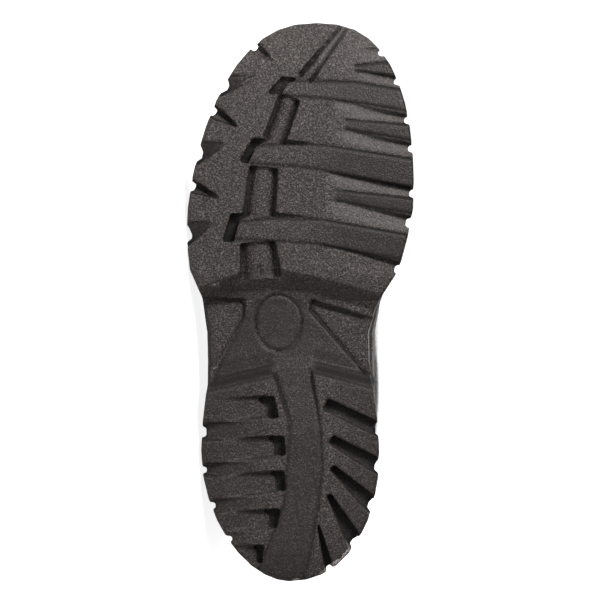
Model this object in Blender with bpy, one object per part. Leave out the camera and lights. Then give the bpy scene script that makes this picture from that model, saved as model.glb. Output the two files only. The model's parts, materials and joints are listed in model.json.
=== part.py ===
"""Chukka boot for the right foot, lying on its outer side.

The boot is drawn in its own upright frame, in millimetres: X from the back of the heel to the
toe, Y across with the inner (medial) side positive, Z up from the plane that the lugs stand on.
An empty then lays it down, so that the sole's outer edge and the upper rest on the floor.
"""

import math
from collections import namedtuple

import bmesh
import bpy
import numpy as np
from mathutils import Matrix, Vector
from mathutils.bvhtree import BVHTree

MM = 0.001

# ---------------------------------------------------------------- driving sizes, millimetres
SOLE_LENGTH = 292.0
HEEL_APEX_Y = -6.0
TOE_APEX_Y = 8.8
RIM_SETBACK = 2.3          # the lugs stand this far proud of the rim at heel and toe
RIM_WALL = 2.9             # thickness of the rim that laps the upper
RIM_RISE = 4.5             # height of the rim above the bed
GAP = 0.3                  # clearance between neighbouring pieces
TOE_SPRING = 14.0          # lift of the tread at the toe tip
SPRING_START = 215.0       # the tread is flat up to here
HEEL_ROLL = 1.5            # lift of the tread at the very back
HEEL_ROLL_END = 14.0
LUG_FLANGE = 6.4           # height of the lug layer at the sole's edge
LEATHER = 2.4              # wall of the upper
COLLAR_PAD = 3.4           # extra thickness of the padded collar
INSOLE_THICK = 4.0
INSOLE_PLAY = 0.55         # between the insole and the upper around it
TONGUE_THICK = 3.0
COLLAR_FRONT = 112.0       # collar above the bed, at the front
COLLAR_DIP = 12.0          # the collar is this much lower at the back
VAMP_POINT = 62.0          # height at which the throat opens
THROAT_HALF_LOW = 7.0      # half the gap between the facings, at the vamp point
THROAT_HALF_TOP = 11.0     # and at the collar
STATIONS = 28              # columns along each side, from heel to toe
THROAT_COLUMN = 25         # the facings' edges follow this column
EYELET_PAIRS = 4
EYELET_SIDES = 10
EYELET_BACK = 8.0          # from the facing's edge to the eyelet's centre
BORE_RADIUS = 2.6
BARREL_RADIUS = 3.5
FLANGE_RADIUS = 5.1
LACE_RADIUS = 1.9
LACE_SIDES = 6
LACE_LIFT = 4.2            # the strands' middle above the leather
POST_RADIUS = 2.15
LACE_SUNK = 0.4            # and below it, where a strand goes into its eyelet

# ---------------------------------------------------------------- the sole's plan and thickness
Section = namedtuple("Section", "x tread_lateral tread_medial rim_lateral rim_medial")
SECTIONS = [
    Section(66, -51.5, 41.4, -48.9, 39.3),
    Section(85, -50.6, 40.4, -48.9, 39.5),
    Section(100, -48.6, 38.2, -48.8, 39.3),
    Section(112, -45.6, 35.2, -48.6, 39.2),
    Section(128, -45.0, 34.0, -48.9, 39.5),
    Section(142, -48.0, 38.0, -50.4, 41.5),
    Section(152, -54.0, 46.5, -52.4, 44.4),
    Section(166, -58.0, 52.8, -55.2, 49.8),
    Section(182, -59.2, 56.6, -56.6, 53.8),
    Section(200, -59.0, 59.4, -56.6, 56.8),
]
# The rounded ends: where each begins, and the powers of its superellipse along and across.
End = namedtuple("End", "end side start along across")
ENDS = [
    End("heel", "lateral", 66.0, 1.8, 1.8),
    End("heel", "medial", 66.0, 2.05, 2.2),
    End("toe", "lateral", 185.0, 1.6, 2.4),
    End("toe", "medial", 200.0, 2.5, 2.5),
]

Thickness = namedtuple("Thickness", "x bed")
THICKNESSES = [
    Thickness(0, 28.0),
    Thickness(80, 27.0),
    Thickness(120, 23.5),
    Thickness(160, 18.4),
    Thickness(200, 16.0),
    Thickness(292, 15.4),
]

# Rows up the sole's side: outline, inset from it, share of the height between flange and rim.
WallRow = namedtuple("WallRow", "outline inset share")
WALL_ROWS = [
    WallRow("wall", 0.0, 0.00),
    WallRow("wall", 0.0, 0.30),
    WallRow("wall", 1.0, 0.36),
    WallRow("wall", 1.0, 0.46),
    WallRow("wall", 0.0, 0.52),
    WallRow("wall", 0.0, 0.76),
    WallRow("wall", 0.9, 0.81),
    WallRow("wall", 0.9, 0.87),
    WallRow("wall", 0.1, 0.92),
    WallRow("wall", 0.5, 1.00),
]

# ---------------------------------------------------------------- the tread
# A groove runs from an inner to an outer end. "deep" is its depth below the tread, "rise" says
# how far its floor climbs across: +1 up to the tread on the heel side, -1 on the toe side, and
# "edge" is how wide it opens in the sole's side wall.
Groove = namedtuple("Groove", "x_in y_in x_out y_out wide_in wide_out deep_in deep_out rise edge")
INNER_NOTCHES = [
    Groove(273.5, 29.5, 276.3, 46.0, 7.0, 7.0, 0.4, 3.8, 1, 4.0),
    Groove(263.6, 29.5, 259.6, 56.0, 4.6, 5.6, 0.8, 5.0, 1, 4.0),
    Groove(246.0, 17.0, 239.6, 60.0, 10.0, 6.4, 0.6, 5.8, 1, 4.6),
    Groove(232.0, 17.0, 224.4, 64.0, 8.4, 6.4, 0.6, 5.8, 1, 4.6),
    Groove(209.0, 13.0, 201.2, 64.0, 10.0, 6.8, 0.6, 6.0, 1, 5.0),
    Groove(194.4, 12.0, 185.4, 64.0, 9.4, 8.4, 0.6, 6.0, 1, 6.0),
    Groove(171.6, 10.0, 160.4, 60.0, 9.4, 8.8, 0.6, 6.0, 1, 5.6),
]
OUTER_NOTCHES = [
    Groove(270.8, -13.7, 280.4, -25.5, 0.8, 8.4, 3.6, 5.2, 0.6, 5.0),
    Groove(263.4, -22.0, 258.2, -43.0, 0.6, 13.0, 0.5, 5.8, -0.65, 7.4),
    Groove(236.4, -32.0, 246.6, -48.0, 0.8, 9.4, 4.2, 5.6, 0.6, 5.4),
    Groove(228.6, -38.0, 222.6, -56.0, 0.6, 14.4, 0.5, 6.1, -0.65, 8.6),
    Groove(199.6, -42.0, 207.4, -60.0, 0.8, 9.4, 4.2, 5.8, 0.6, 5.6),
    Groove(187.6, -44.3, 180.2, -62.0, 0.6, 15.4, 0.5, 6.2, -0.65, 9.4),
]
BAR_SLITS = [
    Groove(262.3, 4.0, 261.2, 14.0, 2.2, 0.5, 2.6, 0.5, 0, 0),
    Groove(228.6, -9.0, 227.6, 12.0, 3.2, 0.5, 3.4, 0.5, 0, 0),
    Groove(190.6, -14.0, 189.2, 9.0, 3.2, 0.5, 3.4, 0.5, 0, 0),
]
# The central channel, broken by the three bars, with a rounded rib along its floor.
CHANNEL = [
    Groove(261.8, 2.2, 292.0, 25.1, 8.8, 5.0, 4.6, 3.6, 0, 0),
    Groove(229.0, -13.6, 252.6, -5.2, 12.4, 11.8, 5.2, 5.0, 0, 0),
    Groove(190.6, -21.4, 215.9, -18.7, 17.4, 15.4, 5.2, 5.2, 0, 0),
    Groove(158.0, -20.4, 176.8, -21.9, 22.0, 18.6, 6.0, 5.2, 0, 0),
]
CHANNEL_RIB = 2.7
# How the channel's floor lies across: share of the half width, share of the rib's height.
RIB_PROFILE = [(-0.80, 0.0), (-0.52, 0.72), (-0.18, 1.0), (0.18, 1.0), (0.52, 0.72), (0.80, 0.0)]
HEEL_STRIP = [
    Groove(78.0, 3.2, 116.0, -5.2, 15.6, 21.6, 0.02, 4.8, 0, 0),
]
# The heel's inner side: grooves that fan out, each with its deep side towards the toe.
HEEL_FAN = [
    Groove(92.6, 13.2, 77.6, 44.0, 6.8, 7.8, 5.4, 6.0, 0.35, 6.2),
    Groove(74.2, 16.0, 58.2, 44.0, 5.2, 9.0, 5.4, 6.0, 0.35, 6.8),
    Groove(59.6, 16.6, 36.9, 41.0, 3.8, 9.8, 5.4, 6.0, 0.35, 7.2),
    Groove(45.4, 14.8, 17.1, 31.0, 3.0, 9.8, 5.2, 6.0, 0.25, 7.2),
    Groove(31.3, 9.0, 6.0, 15.4, 1.4, 5.2, 3.4, 5.4, 0.0, 3.6),
]
# The heel's outer side: broad bars that sink towards an inner pocket, and ribs between them
# that sink towards the edge. Their banks are shallow, so both look like wedges from below.
HeelBar = namedtuple("HeelBar", "x half tilt end_y")
HEEL_BARS = [
    HeelBar(89.3, 6.0, 2.0, -16.2),
    HeelBar(68.1, 5.9, 2.5, -13.0),
    HeelBar(49.5, 5.9, 2.6, -12.0),
    HeelBar(31.2, 5.4, 1.4, -15.4),
    HeelBar(14.4, 4.9, 0.0, -21.6),
]
BANK_DRAFT = 0.45
BAR_SINK_START = -40.0
BAR_SINK = 3.9
RIB_SINK_START = -27.0
RIB_SINK = 4.6
OUTER_REACH = -57.0
WALL_DRAFT = 0.10          # a groove's walls lean back this much per millimetre
EDGE_INSET = 2.5           # the side openings reach this far in from the tread's outline
EDGE_DEPTH = 7.7           # and this far up the side wall

# The waist: its front and back lines, and how deep it lies along the way between them.
WaistLine = namedtuple("WaistLine", "y heel fore")
WAIST_LINES = [
    WaistLine(-66.0, 94.5, 148.9),
    WaistLine(-48.4, 98.8, 155.5),
    WaistLine(-31.7, 102.7, 161.7),
    WaistLine(-13.0, 107.1, 163.6),
    WaistLine(5.7, 108.7, 160.6),
    WaistLine(22.9, 104.6, 156.0),
    WaistLine(44.2, 99.4, 149.8),
    WaistLine(66.0, 94.0, 143.4),
]
WaistRow = namedtuple("WaistRow", "share depth")
WAIST_ROWS = [
    WaistRow(-0.03, -2.0),
    WaistRow(0.06, 4.0),
    WaistRow(0.15, 6.8),
    WaistRow(0.36, 8.0),
    WaistRow(0.66, 8.2),
    WaistRow(0.80, 7.4),
    WaistRow(1.03, -2.0),
]
# Forms cut straight down, by their corners: the pockets at the outer ends of the three bars,
# which open into the channel, the pockets at the inner ends of the heel's bars, and two sunk
# panels in the waist, which open at the sides.
Corner = namedtuple("Corner", "x y")
POCKET_DEPTH = 5.4
POCKETS = [
    [Corner(254.0, -17.4), Corner(263.2, -9.4), Corner(262.2, 0.0), Corner(259.6, -6.6),
     Corner(254.0, -9.6)],
    [Corner(217.9, -32.0), Corner(230.8, -24.8), Corner(230.4, -15.0), Corner(226.4, -23.2),
     Corner(217.9, -26.6)],
    [Corner(177.0, -40.4), Corner(191.8, -35.8), Corner(191.6, -24.0), Corner(188.2, -31.6),
     Corner(177.0, -34.4)],
    [Corner(96.7, -13.6), Corner(85.1, -10.8), Corner(84.9, -16.6), Corner(90.4, -17.6), Corner(93.6, -21.0),
     Corner(96.3, -21.4)],
    [Corner(75.9, -8.0), Corner(65.4, -7.4), Corner(65.9, -13.4), Corner(72.4, -13.6), Corner(75.7, -17.4)],
    [Corner(57.7, -7.8), Corner(47.0, -7.4), Corner(47.6, -12.4), Corner(54.4, -12.6), Corner(57.5, -16.4)],
    [Corner(37.9, -9.8), Corner(27.7, -12.3), Corner(28.2, -16.2), Corner(34.4, -16.0), Corner(37.7, -19.8)],
    [Corner(19.2, -18.6), Corner(9.4, -19.8), Corner(9.8, -22.4), Corner(16.6, -22.6), Corner(19.0, -25.4)],
]
PANEL_DEPTH = 10.8
OUTER_PANEL = [Corner(147.4, -28.6), Corner(139.2, -28.8), Corner(111.6, -44.2), Corner(111.6, -60.0),
               Corner(146.0, -60.0)]
INNER_PANEL = [Corner(147.0, 6.0), Corner(138.4, 33.6), Corner(136.0, 60.0), Corner(106.0, 60.0),
               Corner(107.4, 35.0), Corner(140.8, 4.8)]

# ---------------------------------------------------------------- the upper
# The ridge of the upper in side view: how far forward the boot reaches at each height.
Reach = namedtuple("Reach", "height x")
FRONT = [
    Reach(0.0, 286.4),
    Reach(5.0, 286.4),
    Reach(12.0, 285.2),
    Reach(19.0, 281.6),
    Reach(25.0, 275.0),
    Reach(29.5, 264.0),
    Reach(33.5, 248.0),
    Reach(38.0, 228.0),
    Reach(44.0, 207.0),
    Reach(52.0, 186.0),
    Reach(62.0, 166.0),
    Reach(74.0, 146.0),
    Reach(88.0, 126.0),
    Reach(100.0, 111.0),
    Reach(112.0, 99.0),
    Reach(124.0, 90.0),
    Reach(160.0, 72.0),
    Reach(240.0, 50.0),
    Reach(500.0, 20.0),
]
BACK = [
    Reach(0.0, 5.6),
    Reach(5.0, 5.6),
    Reach(14.0, 3.2),
    Reach(28.0, 2.2),
    Reach(45.0, 4.2),
    Reach(65.0, 8.2),
    Reach(85.0, 11.0),
    Reach(100.0, 11.6),
    Reach(112.0, 10.6),
    Reach(130.0, 10.0),
]
# Fullness of the sides by height, and the line of the instep seen from above.
Girth = namedtuple("Girth", "height factor")
GIRTHS = [
    Girth(0.0, 1.0),
    Girth(26.0, 1.0),
    Girth(46.0, 0.93),
    Girth(68.0, 0.86),
    Girth(88.0, 0.86),
    Girth(103.0, 0.91),
    Girth(112.0, 0.89),
    Girth(130.0, 0.88),
]
RidgePoint = namedtuple("RidgePoint", "x y square")
RIDGE = [
    RidgePoint(0.0, -5.4, 2.2),
    RidgePoint(60.0, -4.6, 2.2),
    RidgePoint(110.0, -3.6, 1.9),
    RidgePoint(160.0, -1.4, 1.9),
    RidgePoint(210.0, 3.0, 2.1),
    RidgePoint(250.0, 7.0, 2.5),
    RidgePoint(287.0, 8.8, 2.6),
]
HEIGHTS = [0.3, 5.0, 10.0, 16.0, 22.0, 27.0, 31.0, 35.0, 41.0, 48.0, 55.0, 62.0,
           71.0, 81.0, 91.0, 98.0, 104.0, 109.0, 112.0, 117.0, 122.0]
COLLAR_ROW = HEIGHTS.index(COLLAR_FRONT)
THROAT_ROW = HEIGHTS.index(VAMP_POINT)
TONGUE_ROW = HEIGHTS.index(48.0)
TONGUE_COLUMNS = 6         # columns of the tongue on each side of its middle
SIDE_BULGE = 2.0           # the upper swells over the rim by this much
WAIST_BULGE = 4.8          # and by this much more over the inner waist
WAIST_BULGE_X = 104.0
WAIST_BULGE_LENGTH = 40.0


# ---------------------------------------------------------------- curves
def smooth(xs, ys, x):
    """Monotone cubic through a table's points, level at both ends."""
    if x <= xs[0]:
        return ys[0]
    if x >= xs[-1]:
        return ys[-1]
    i = max(k for k in range(len(xs) - 1) if xs[k] <= x)
    rise = [(ys[k + 1] - ys[k]) / (xs[k + 1] - xs[k]) for k in range(len(xs) - 1)]

    def slope(k):
        if k == 0 or k == len(xs) - 1 or rise[k - 1] * rise[k] <= 0.0:
            return 0.0
        return 2.0 * rise[k - 1] * rise[k] / (rise[k - 1] + rise[k])

    h = xs[i + 1] - xs[i]
    t = (x - xs[i]) / h
    return (
        ys[i] * (1 + 2 * t) * (1 - t) ** 2
        + slope(i) * h * t * (1 - t) ** 2
        + ys[i + 1] * t * t * (3 - 2 * t)
        + slope(i + 1) * h * t * t * (t - 1)
    )


def column(rows, field):
    return [getattr(row, field) for row in rows]


def look_up(rows, key, field, value):
    return smooth(column(rows, key), column(rows, field), value)


def ease(value, start, end):
    """0 before start, 1 after end, smooth between."""
    t = min(1.0, max(0.0, (value - start) / (end - start)))
    return t * t * (3.0 - 2.0 * t)


def end_arc(reach, end):
    """A quarter of a superellipse: 1 at reach 0, 0 at reach 1."""
    return max(0.0, 1.0 - min(1.0, reach) ** end.along) ** (1.0 / end.across)


# ---------------------------------------------------------------- the sole's surfaces
def tread_z(x):
    """The surface that the lugs' faces lie on: flat, with toe spring and a rolled heel."""
    spring = max(0.0, x - SPRING_START) / (SOLE_LENGTH - SPRING_START)
    roll = max(0.0, HEEL_ROLL_END - x) / HEEL_ROLL_END
    return TOE_SPRING * spring ** 2 + HEEL_ROLL * roll ** 2


def bed_z(x):
    """The surface that carries insole and upper."""
    return tread_z(x) + look_up(THICKNESSES, "x", "bed", x)


def outline_ends(outline, inset):
    setback = inset if outline == "tread" else inset + RIM_SETBACK
    return setback, SOLE_LENGTH - setback


def edge_y(x, outline, side, inset=0.0):
    """Y of an outline's edge at x. The side is 'lateral' or 'medial'."""
    sign = -1.0 if side == "lateral" else 1.0
    if outline == "narrow":
        both = [edge_y(x, name, side, inset) for name in ("tread", "rim")]
        return min(both, key=abs)
    back, front = outline_ends(outline, inset)
    heel, toe = [end for end in ENDS if end.side == side]
    wide = look_up(SECTIONS, "x", outline + "_" + side, x) - sign * inset
    if x < heel.start:
        arc = end_arc((heel.start - x) / (heel.start - back), heel)
        return HEEL_APEX_Y + (wide - HEEL_APEX_Y) * arc
    if x > toe.start:
        arc = end_arc((x - toe.start) / (front - toe.start), toe)
        return TOE_APEX_Y + (wide - TOE_APEX_Y) * arc
    return wide


def station(k, count=STATIONS):
    """Share of the length at column k, close together at both ends."""
    return 0.5 - 0.5 * math.cos(math.pi * k / count)


def sole_ring(outline, inset, height, share=0.0):
    """A closed ring around the sole: up the medial side to the toe, back on the lateral one.

    The outline 'wall' goes from the narrower of tread and rim, at share 0, to the rim.
    """
    back, front = outline_ends("rim" if outline == "wall" else outline, inset)
    spread = min(1.0, share / 0.76)

    def point(k, side):
        x = back + (front - back) * station(k)
        if outline == "wall":
            low = edge_y(x, "narrow", side, inset)
            y = low + (edge_y(x, "rim", side, inset) - low) * spread
        else:
            y = edge_y(x, outline, side, inset)
        return Vector((x, y, height(x)))

    medial = [point(k, "medial") for k in range(STATIONS + 1)]
    lateral = [point(k, "lateral") for k in range(STATIONS - 1, 0, -1)]
    return medial + lateral


# ---------------------------------------------------------------- mesh helpers
def add_rings(bm, rings):
    """Vertices for a list of rings, with quads between neighbours."""
    rows = [[bm.verts.new(point) for point in ring] for ring in rings]
    for low, high in zip(rows, rows[1:]):
        for i in range(len(low)):
            j = (i + 1) % len(low)
            bm.faces.new((low[i], low[j], high[j], high[i]))
    return rows


def add_cap(bm, row):
    """Closes a heel-to-toe ring with strips from side to side."""
    count = len(row)
    half = count // 2
    for k in range(half):
        corners = [row[k], row[k + 1], row[count - k - 1], row[(count - k) % count]]
        unique = list(dict.fromkeys(corners))
        bm.faces.new(unique)


def finish_mesh(bm, name, material, parent, merge=0.0):
    """Turns a mesh in the upright frame's millimetres into a shaded object."""
    if merge:
        bmesh.ops.remove_doubles(bm, verts=bm.verts, dist=merge)
    bmesh.ops.recalc_face_normals(bm, faces=bm.faces)
    bmesh.ops.scale(bm, vec=(MM, MM, MM), verts=bm.verts)
    mesh = bpy.data.meshes.new(name)
    bm.to_mesh(mesh)
    bm.free()
    thing = bpy.data.objects.new(name, mesh)
    bpy.context.scene.collection.objects.link(thing)
    thing.parent = parent
    if material:
        mesh.materials.append(material)
    mesh.shade_smooth()
    mesh.set_sharp_from_angle(angle=math.radians(32))
    return thing


def make_material(name, colour, roughness, metallic=0.0):
    material = bpy.data.materials.new(name)
    material.use_nodes = True
    shader = material.node_tree.nodes["Principled BSDF"]
    shader.inputs["Base Color"].default_value = (*colour, 1.0)
    shader.inputs["Roughness"].default_value = roughness
    shader.inputs["Metallic"].default_value = metallic
    return material


def cut(target, cutter, name, operation="DIFFERENCE"):
    """Adds an exact Boolean, with the cutter kept as a hidden wire object."""
    cutter.hide_render = True
    cutter.display_type = "WIRE"
    boolean = target.modifiers.new(name, "BOOLEAN")
    boolean.operation = operation
    boolean.solver = "EXACT"
    boolean.object = cutter
    return boolean


# ---------------------------------------------------------------- tread cutters
def add_groove(bm, groove, crown=0.0, draft=WALL_DRAFT):
    """A tapered block that cuts one groove. The crown leaves a rib along its floor."""
    start = Vector((groove.x_in, groove.y_in))
    end = Vector((groove.x_out, groove.y_out))
    along = (end - start).normalized()
    toe_side = Vector((along.y, -along.x))
    if toe_side.x < 0.0:
        toe_side.negate()
    below = 3.0
    rings = []
    for middle, wide, deep in (
        (start, groove.wide_in, groove.deep_in),
        (end, groove.wide_out, groove.deep_out),
    ):
        toe_deep = deep * (1.0 + min(0.0, groove.rise))
        heel_deep = deep * (1.0 - max(0.0, groove.rise))
        ring = []
        middle_deep = 0.5 * (heel_deep + toe_deep)
        profile = [(-1.0, -below), (-1.0, heel_deep), (0.0, middle_deep), (1.0, toe_deep), (1.0, -below)]
        if crown:
            profile[2:3] = [(share, middle_deep - crown * rise) for share, rise in RIB_PROFILE]
        for share, depth in profile:
            half = max(0.12, 0.5 * wide - draft * depth)
            spot = middle + toe_side * half * share
            ring.append(Vector((spot.x, spot.y, tread_z(spot.x) + depth)))
        rings.append(ring)
    rows = add_rings(bm, rings)
    bm.faces.new(rows[0])
    bm.faces.new(rows[1])


def heel_bar_grooves():
    """Two lists: the sinking bars, and the sinking ribs between the bars."""
    bars, ribs = [], []
    for bar in HEEL_BARS:
        wide = 2 * bar.half
        bars.append(Groove(bar.x, BAR_SINK_START, bar.x + bar.tilt, bar.end_y, wide, wide,
                           0.02, BAR_SINK, 0, 0))
    for bar, following in zip(HEEL_BARS, HEEL_BARS[1:]):
        middle = 0.5 * (bar.x - bar.half + following.x + following.half)
        wide = bar.x - bar.half - following.x - following.half
        ribs.append(Groove(middle, RIB_SINK_START, middle - 1.0, OUTER_REACH, wide, wide + 1.0,
                           0.02, RIB_SINK, 0, wide - 2.6))
    return bars, ribs


def add_side_opening(bm, groove):
    """A block that opens a groove through the side wall, so that the lugs stand proud there."""
    start = Vector((groove.x_in, groove.y_in))
    along = (Vector((groove.x_out, groove.y_out)) - start).normalized()
    side = "medial" if groove.y_out > HEEL_APEX_Y else "lateral"
    reach = 0.0
    spot = start
    while abs(spot.y - HEEL_APEX_Y) < abs(edge_y(spot.x, "tread", side) - HEEL_APEX_Y) and reach < 60.0:
        reach += 0.25
        spot = start + along * reach
    across = Vector((-along.y, along.x)) * 0.5 * groove.edge
    inner = spot - along * EDGE_INSET
    outer = spot + along * 8.0
    corners = [inner - across * 0.7, inner + across * 0.7, outer + across * 1.3, outer - across * 1.3]
    rings = [[Vector((c.x, c.y, z)) for c in corners] for z in (-3.0, tread_z(spot.x) + EDGE_DEPTH)]
    rows = add_rings(bm, rings)
    bm.faces.new(rows[0])
    bm.faces.new(rows[1])


def groove_cutter(name, grooves, parent, crown=0.0, draft=WALL_DRAFT):
    bm = bmesh.new()
    for groove in grooves:
        add_groove(bm, groove, crown, draft)
    return finish_mesh(bm, name, None, parent)


def waist_cutter(parent):
    """The hollow of the waist, between the forefoot's last lugs and the heel's first ones."""
    floor = []
    for row in WAIST_ROWS:
        line = []
        for across in WAIST_LINES:
            x = across.heel + (across.fore - across.heel) * row.share
            line.append(Vector((x, across.y, tread_z(x) + row.depth)))
        floor.append(line)
    bm = bmesh.new()
    lid = [[Vector((p.x, p.y, -4.0)) for p in line] for line in floor]
    tops = [[bm.verts.new(p) for p in line] for line in floor]
    lids = [[bm.verts.new(p) for p in line] for line in lid]
    last_row = len(tops) - 1
    last_line = len(WAIST_LINES) - 1
    for r in range(last_row):
        for c in range(last_line):
            bm.faces.new((tops[r][c], tops[r][c + 1], tops[r + 1][c + 1], tops[r + 1][c]))
            bm.faces.new((lids[r][c], lids[r + 1][c], lids[r + 1][c + 1], lids[r][c + 1]))
        for c in (0, last_line):
            bm.faces.new((tops[r][c], tops[r + 1][c], lids[r + 1][c], lids[r][c]))
    for r in (0, last_row):
        for c in range(last_line):
            bm.faces.new((tops[r][c], tops[r][c + 1], lids[r][c + 1], lids[r][c]))
    return finish_mesh(bm, "cutter_waist", None, parent)


def side_cutter(grooves, parent):
    bm = bmesh.new()
    for groove in grooves:
        if groove.edge:
            add_side_opening(bm, groove)
    return finish_mesh(bm, "cutter_side_openings", None, parent)


def straight_cutter(name, outlines, depth, parent):
    """Straight-walled forms, each given by its corners, that end at one depth."""
    bm = bmesh.new()
    for corners in outlines:
        rings = [[Vector((c.x, c.y, z)) for c in corners] for z in (-1.0, depth(corners[0].x))]
        rows = add_rings(bm, rings)
        bm.faces.new(rows[0])
        bm.faces.new(rows[1])
    return finish_mesh(bm, name, None, parent)


def make_outsole(material, parent):
    def rim_top(x):
        return bed_z(x) + RIM_RISE

    def between(share):
        def height(x):
            low = tread_z(x) + LUG_FLANGE + 1.0
            return low + (rim_top(x) - low) * share
        return height

    rings = [
        sole_ring("tread", 1.1, tread_z),
        sole_ring("tread", 0.0, lambda x: tread_z(x) + 1.1),
        sole_ring("tread", 0.0, lambda x: tread_z(x) + LUG_FLANGE),
    ]
    for row in WALL_ROWS:
        rings.append(sole_ring(row.outline, row.inset, between(row.share), row.share))
    rings.append(sole_ring("rim", RIM_WALL - 0.2, rim_top))
    rings.append(sole_ring("rim", RIM_WALL, bed_z))
    bm = bmesh.new()
    rows = add_rings(bm, rings)
    add_cap(bm, rows[0])
    add_cap(bm, rows[-1])
    sole = finish_mesh(bm, "outsole", material, parent)
    bars, ribs = heel_bar_grooves()
    cutters = [
        waist_cutter(parent),
        straight_cutter("cutter_panels", [OUTER_PANEL, INNER_PANEL], lambda x: PANEL_DEPTH, parent),
        straight_cutter("cutter_pockets", POCKETS, lambda x: tread_z(x) + POCKET_DEPTH, parent),
        groove_cutter("cutter_channel", CHANNEL, parent, CHANNEL_RIB),
        groove_cutter("cutter_heel_strip", HEEL_STRIP, parent),
        groove_cutter("cutter_inner_notches", INNER_NOTCHES, parent),
        groove_cutter("cutter_outer_notches", OUTER_NOTCHES, parent),
        groove_cutter("cutter_bar_slits", BAR_SLITS, parent),
        groove_cutter("cutter_heel_fan", HEEL_FAN, parent),
        groove_cutter("cutter_heel_bars", bars, parent, draft=BANK_DRAFT),
        groove_cutter("cutter_heel_ribs", ribs, parent, draft=BANK_DRAFT),
        side_cutter(INNER_NOTCHES + OUTER_NOTCHES + HEEL_FAN + ribs, parent),
    ]
    for cutter in cutters:
        cut(sole, cutter, cutter.name)
    return sole


# ---------------------------------------------------------------- the upper's surface
def front_x(height):
    return look_up(FRONT, "height", "x", height)


def ridge_height(x):
    """Height of the ridge line at x, the inverse of front_x."""
    low, high = 0.0, FRONT[-1].height
    for _ in range(30):
        middle = 0.5 * (low + high)
        if front_x(middle) > x:
            low = middle
        else:
            high = middle
    return 0.5 * (low + high)


def upper_y(x, height, side):
    """Y of the upper's outer surface at x, at a height above the bed."""
    sign = -1.0 if side == "lateral" else 1.0
    lasted = RIM_WALL + GAP
    back, start = BACK[0].x, ENDS[0].start
    back_now = look_up(BACK, "height", "x", height)
    plan_x = x
    if x < start:
        plan_x = start - (start - x) * (start - back) / (start - back_now)
    edge = edge_y(plan_x, "rim", side, lasted)
    ridge_y = look_up(RIDGE, "x", "y", x)
    power = look_up(RIDGE, "x", "square", x)
    swell = SIDE_BULGE
    if side == "medial":
        swell += WAIST_BULGE * math.exp(-(((x - WAIST_BULGE_X) / WAIST_BULGE_LENGTH) ** 2))
    swell *= ease(height, 5.0, 17.0) * min(1.0, abs(edge - ridge_y) / 20.0)
    girth = look_up(GIRTHS, "height", "factor", height)
    full = (edge + sign * swell - ridge_y) * girth
    share = min(1.0, height / max(ridge_height(x), 0.01))
    return ridge_y + full * max(0.0, 1.0 - share ** power) ** 0.5


def throat_half(height):
    share = ease(height, VAMP_POINT, COLLAR_FRONT)
    return THROAT_HALF_LOW + (THROAT_HALF_TOP - THROAT_HALF_LOW) * share


def x_at_half(height, half, side):
    """x at which the surface stands 'half' beside the ridge line, near the ring's front."""
    high = front_x(height)
    low = high - 45.0
    for _ in range(30):
        middle = 0.5 * (low + high)
        away = abs(upper_y(middle, height, side) - look_up(RIDGE, "x", "y", middle))
        if away > half:
            low = middle
        else:
            high = middle
    return 0.5 * (low + high)


def surface_z(x, height):
    dip = COLLAR_DIP * (1.0 - min(1.0, x / front_x(COLLAR_FRONT)))
    return bed_z(x) + height - dip * (height / COLLAR_FRONT) ** 3


def upper_ring(height):
    """One level of the upper: medial side from the back to the front, lateral side back."""
    back = look_up(BACK, "height", "x", height)
    front = front_x(height)
    warp = ease(height, 8.0, 30.0)

    def point(k, side):
        share = station(k)
        edge_share = station(THROAT_COLUMN)
        wanted = (x_at_half(height, throat_half(height), side) - back) / (front - back)
        new_edge = edge_share + (wanted - edge_share) * warp
        if k <= THROAT_COLUMN:
            share *= new_edge / edge_share
        else:
            share = new_edge + (1.0 - new_edge) * (share - edge_share) / (1.0 - edge_share)
        x = back + (front - back) * share
        if k == 0:
            y = look_up(RIDGE, "x", "y", x) if height > 5.0 else HEEL_APEX_Y
        elif k == STATIONS:
            y = look_up(RIDGE, "x", "y", x)
        else:
            y = upper_y(x, height, side)
        return Vector((x, y, surface_z(x, height)))

    medial = [point(k, "medial") for k in range(STATIONS + 1)]
    lateral = [point(k, "lateral") for k in range(STATIONS - 1, 0, -1)]
    return medial + lateral


def surface_grid():
    """Rings of the outer surface, throat included, and the normals at their points."""
    points = np.array([[tuple(p) for p in upper_ring(height)] for height in HEIGHTS])
    around = np.roll(points, -1, axis=1) - np.roll(points, 1, axis=1)
    up = np.gradient(points, axis=0)
    normals = np.cross(up, around)
    normals /= np.linalg.norm(normals, axis=2, keepdims=True)
    return points, normals


def side_column(i):
    """Column number from the back, 0 to STATIONS, whichever side the point is on."""
    return i if i <= STATIONS else 2 * STATIONS - i


def wall_at(row, i):
    """Thickness of the upper: leather, and a padded collar away from the throat."""
    height = HEIGHTS[row]
    pad = ease(height, 84.0, 99.0) * (1.0 - ease(height, 104.0, 112.5))
    away = 1.0 - ease(side_column(i), THROAT_COLUMN - 7, THROAT_COLUMN - 3)
    return LEATHER + COLLAR_PAD * pad * away


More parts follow.
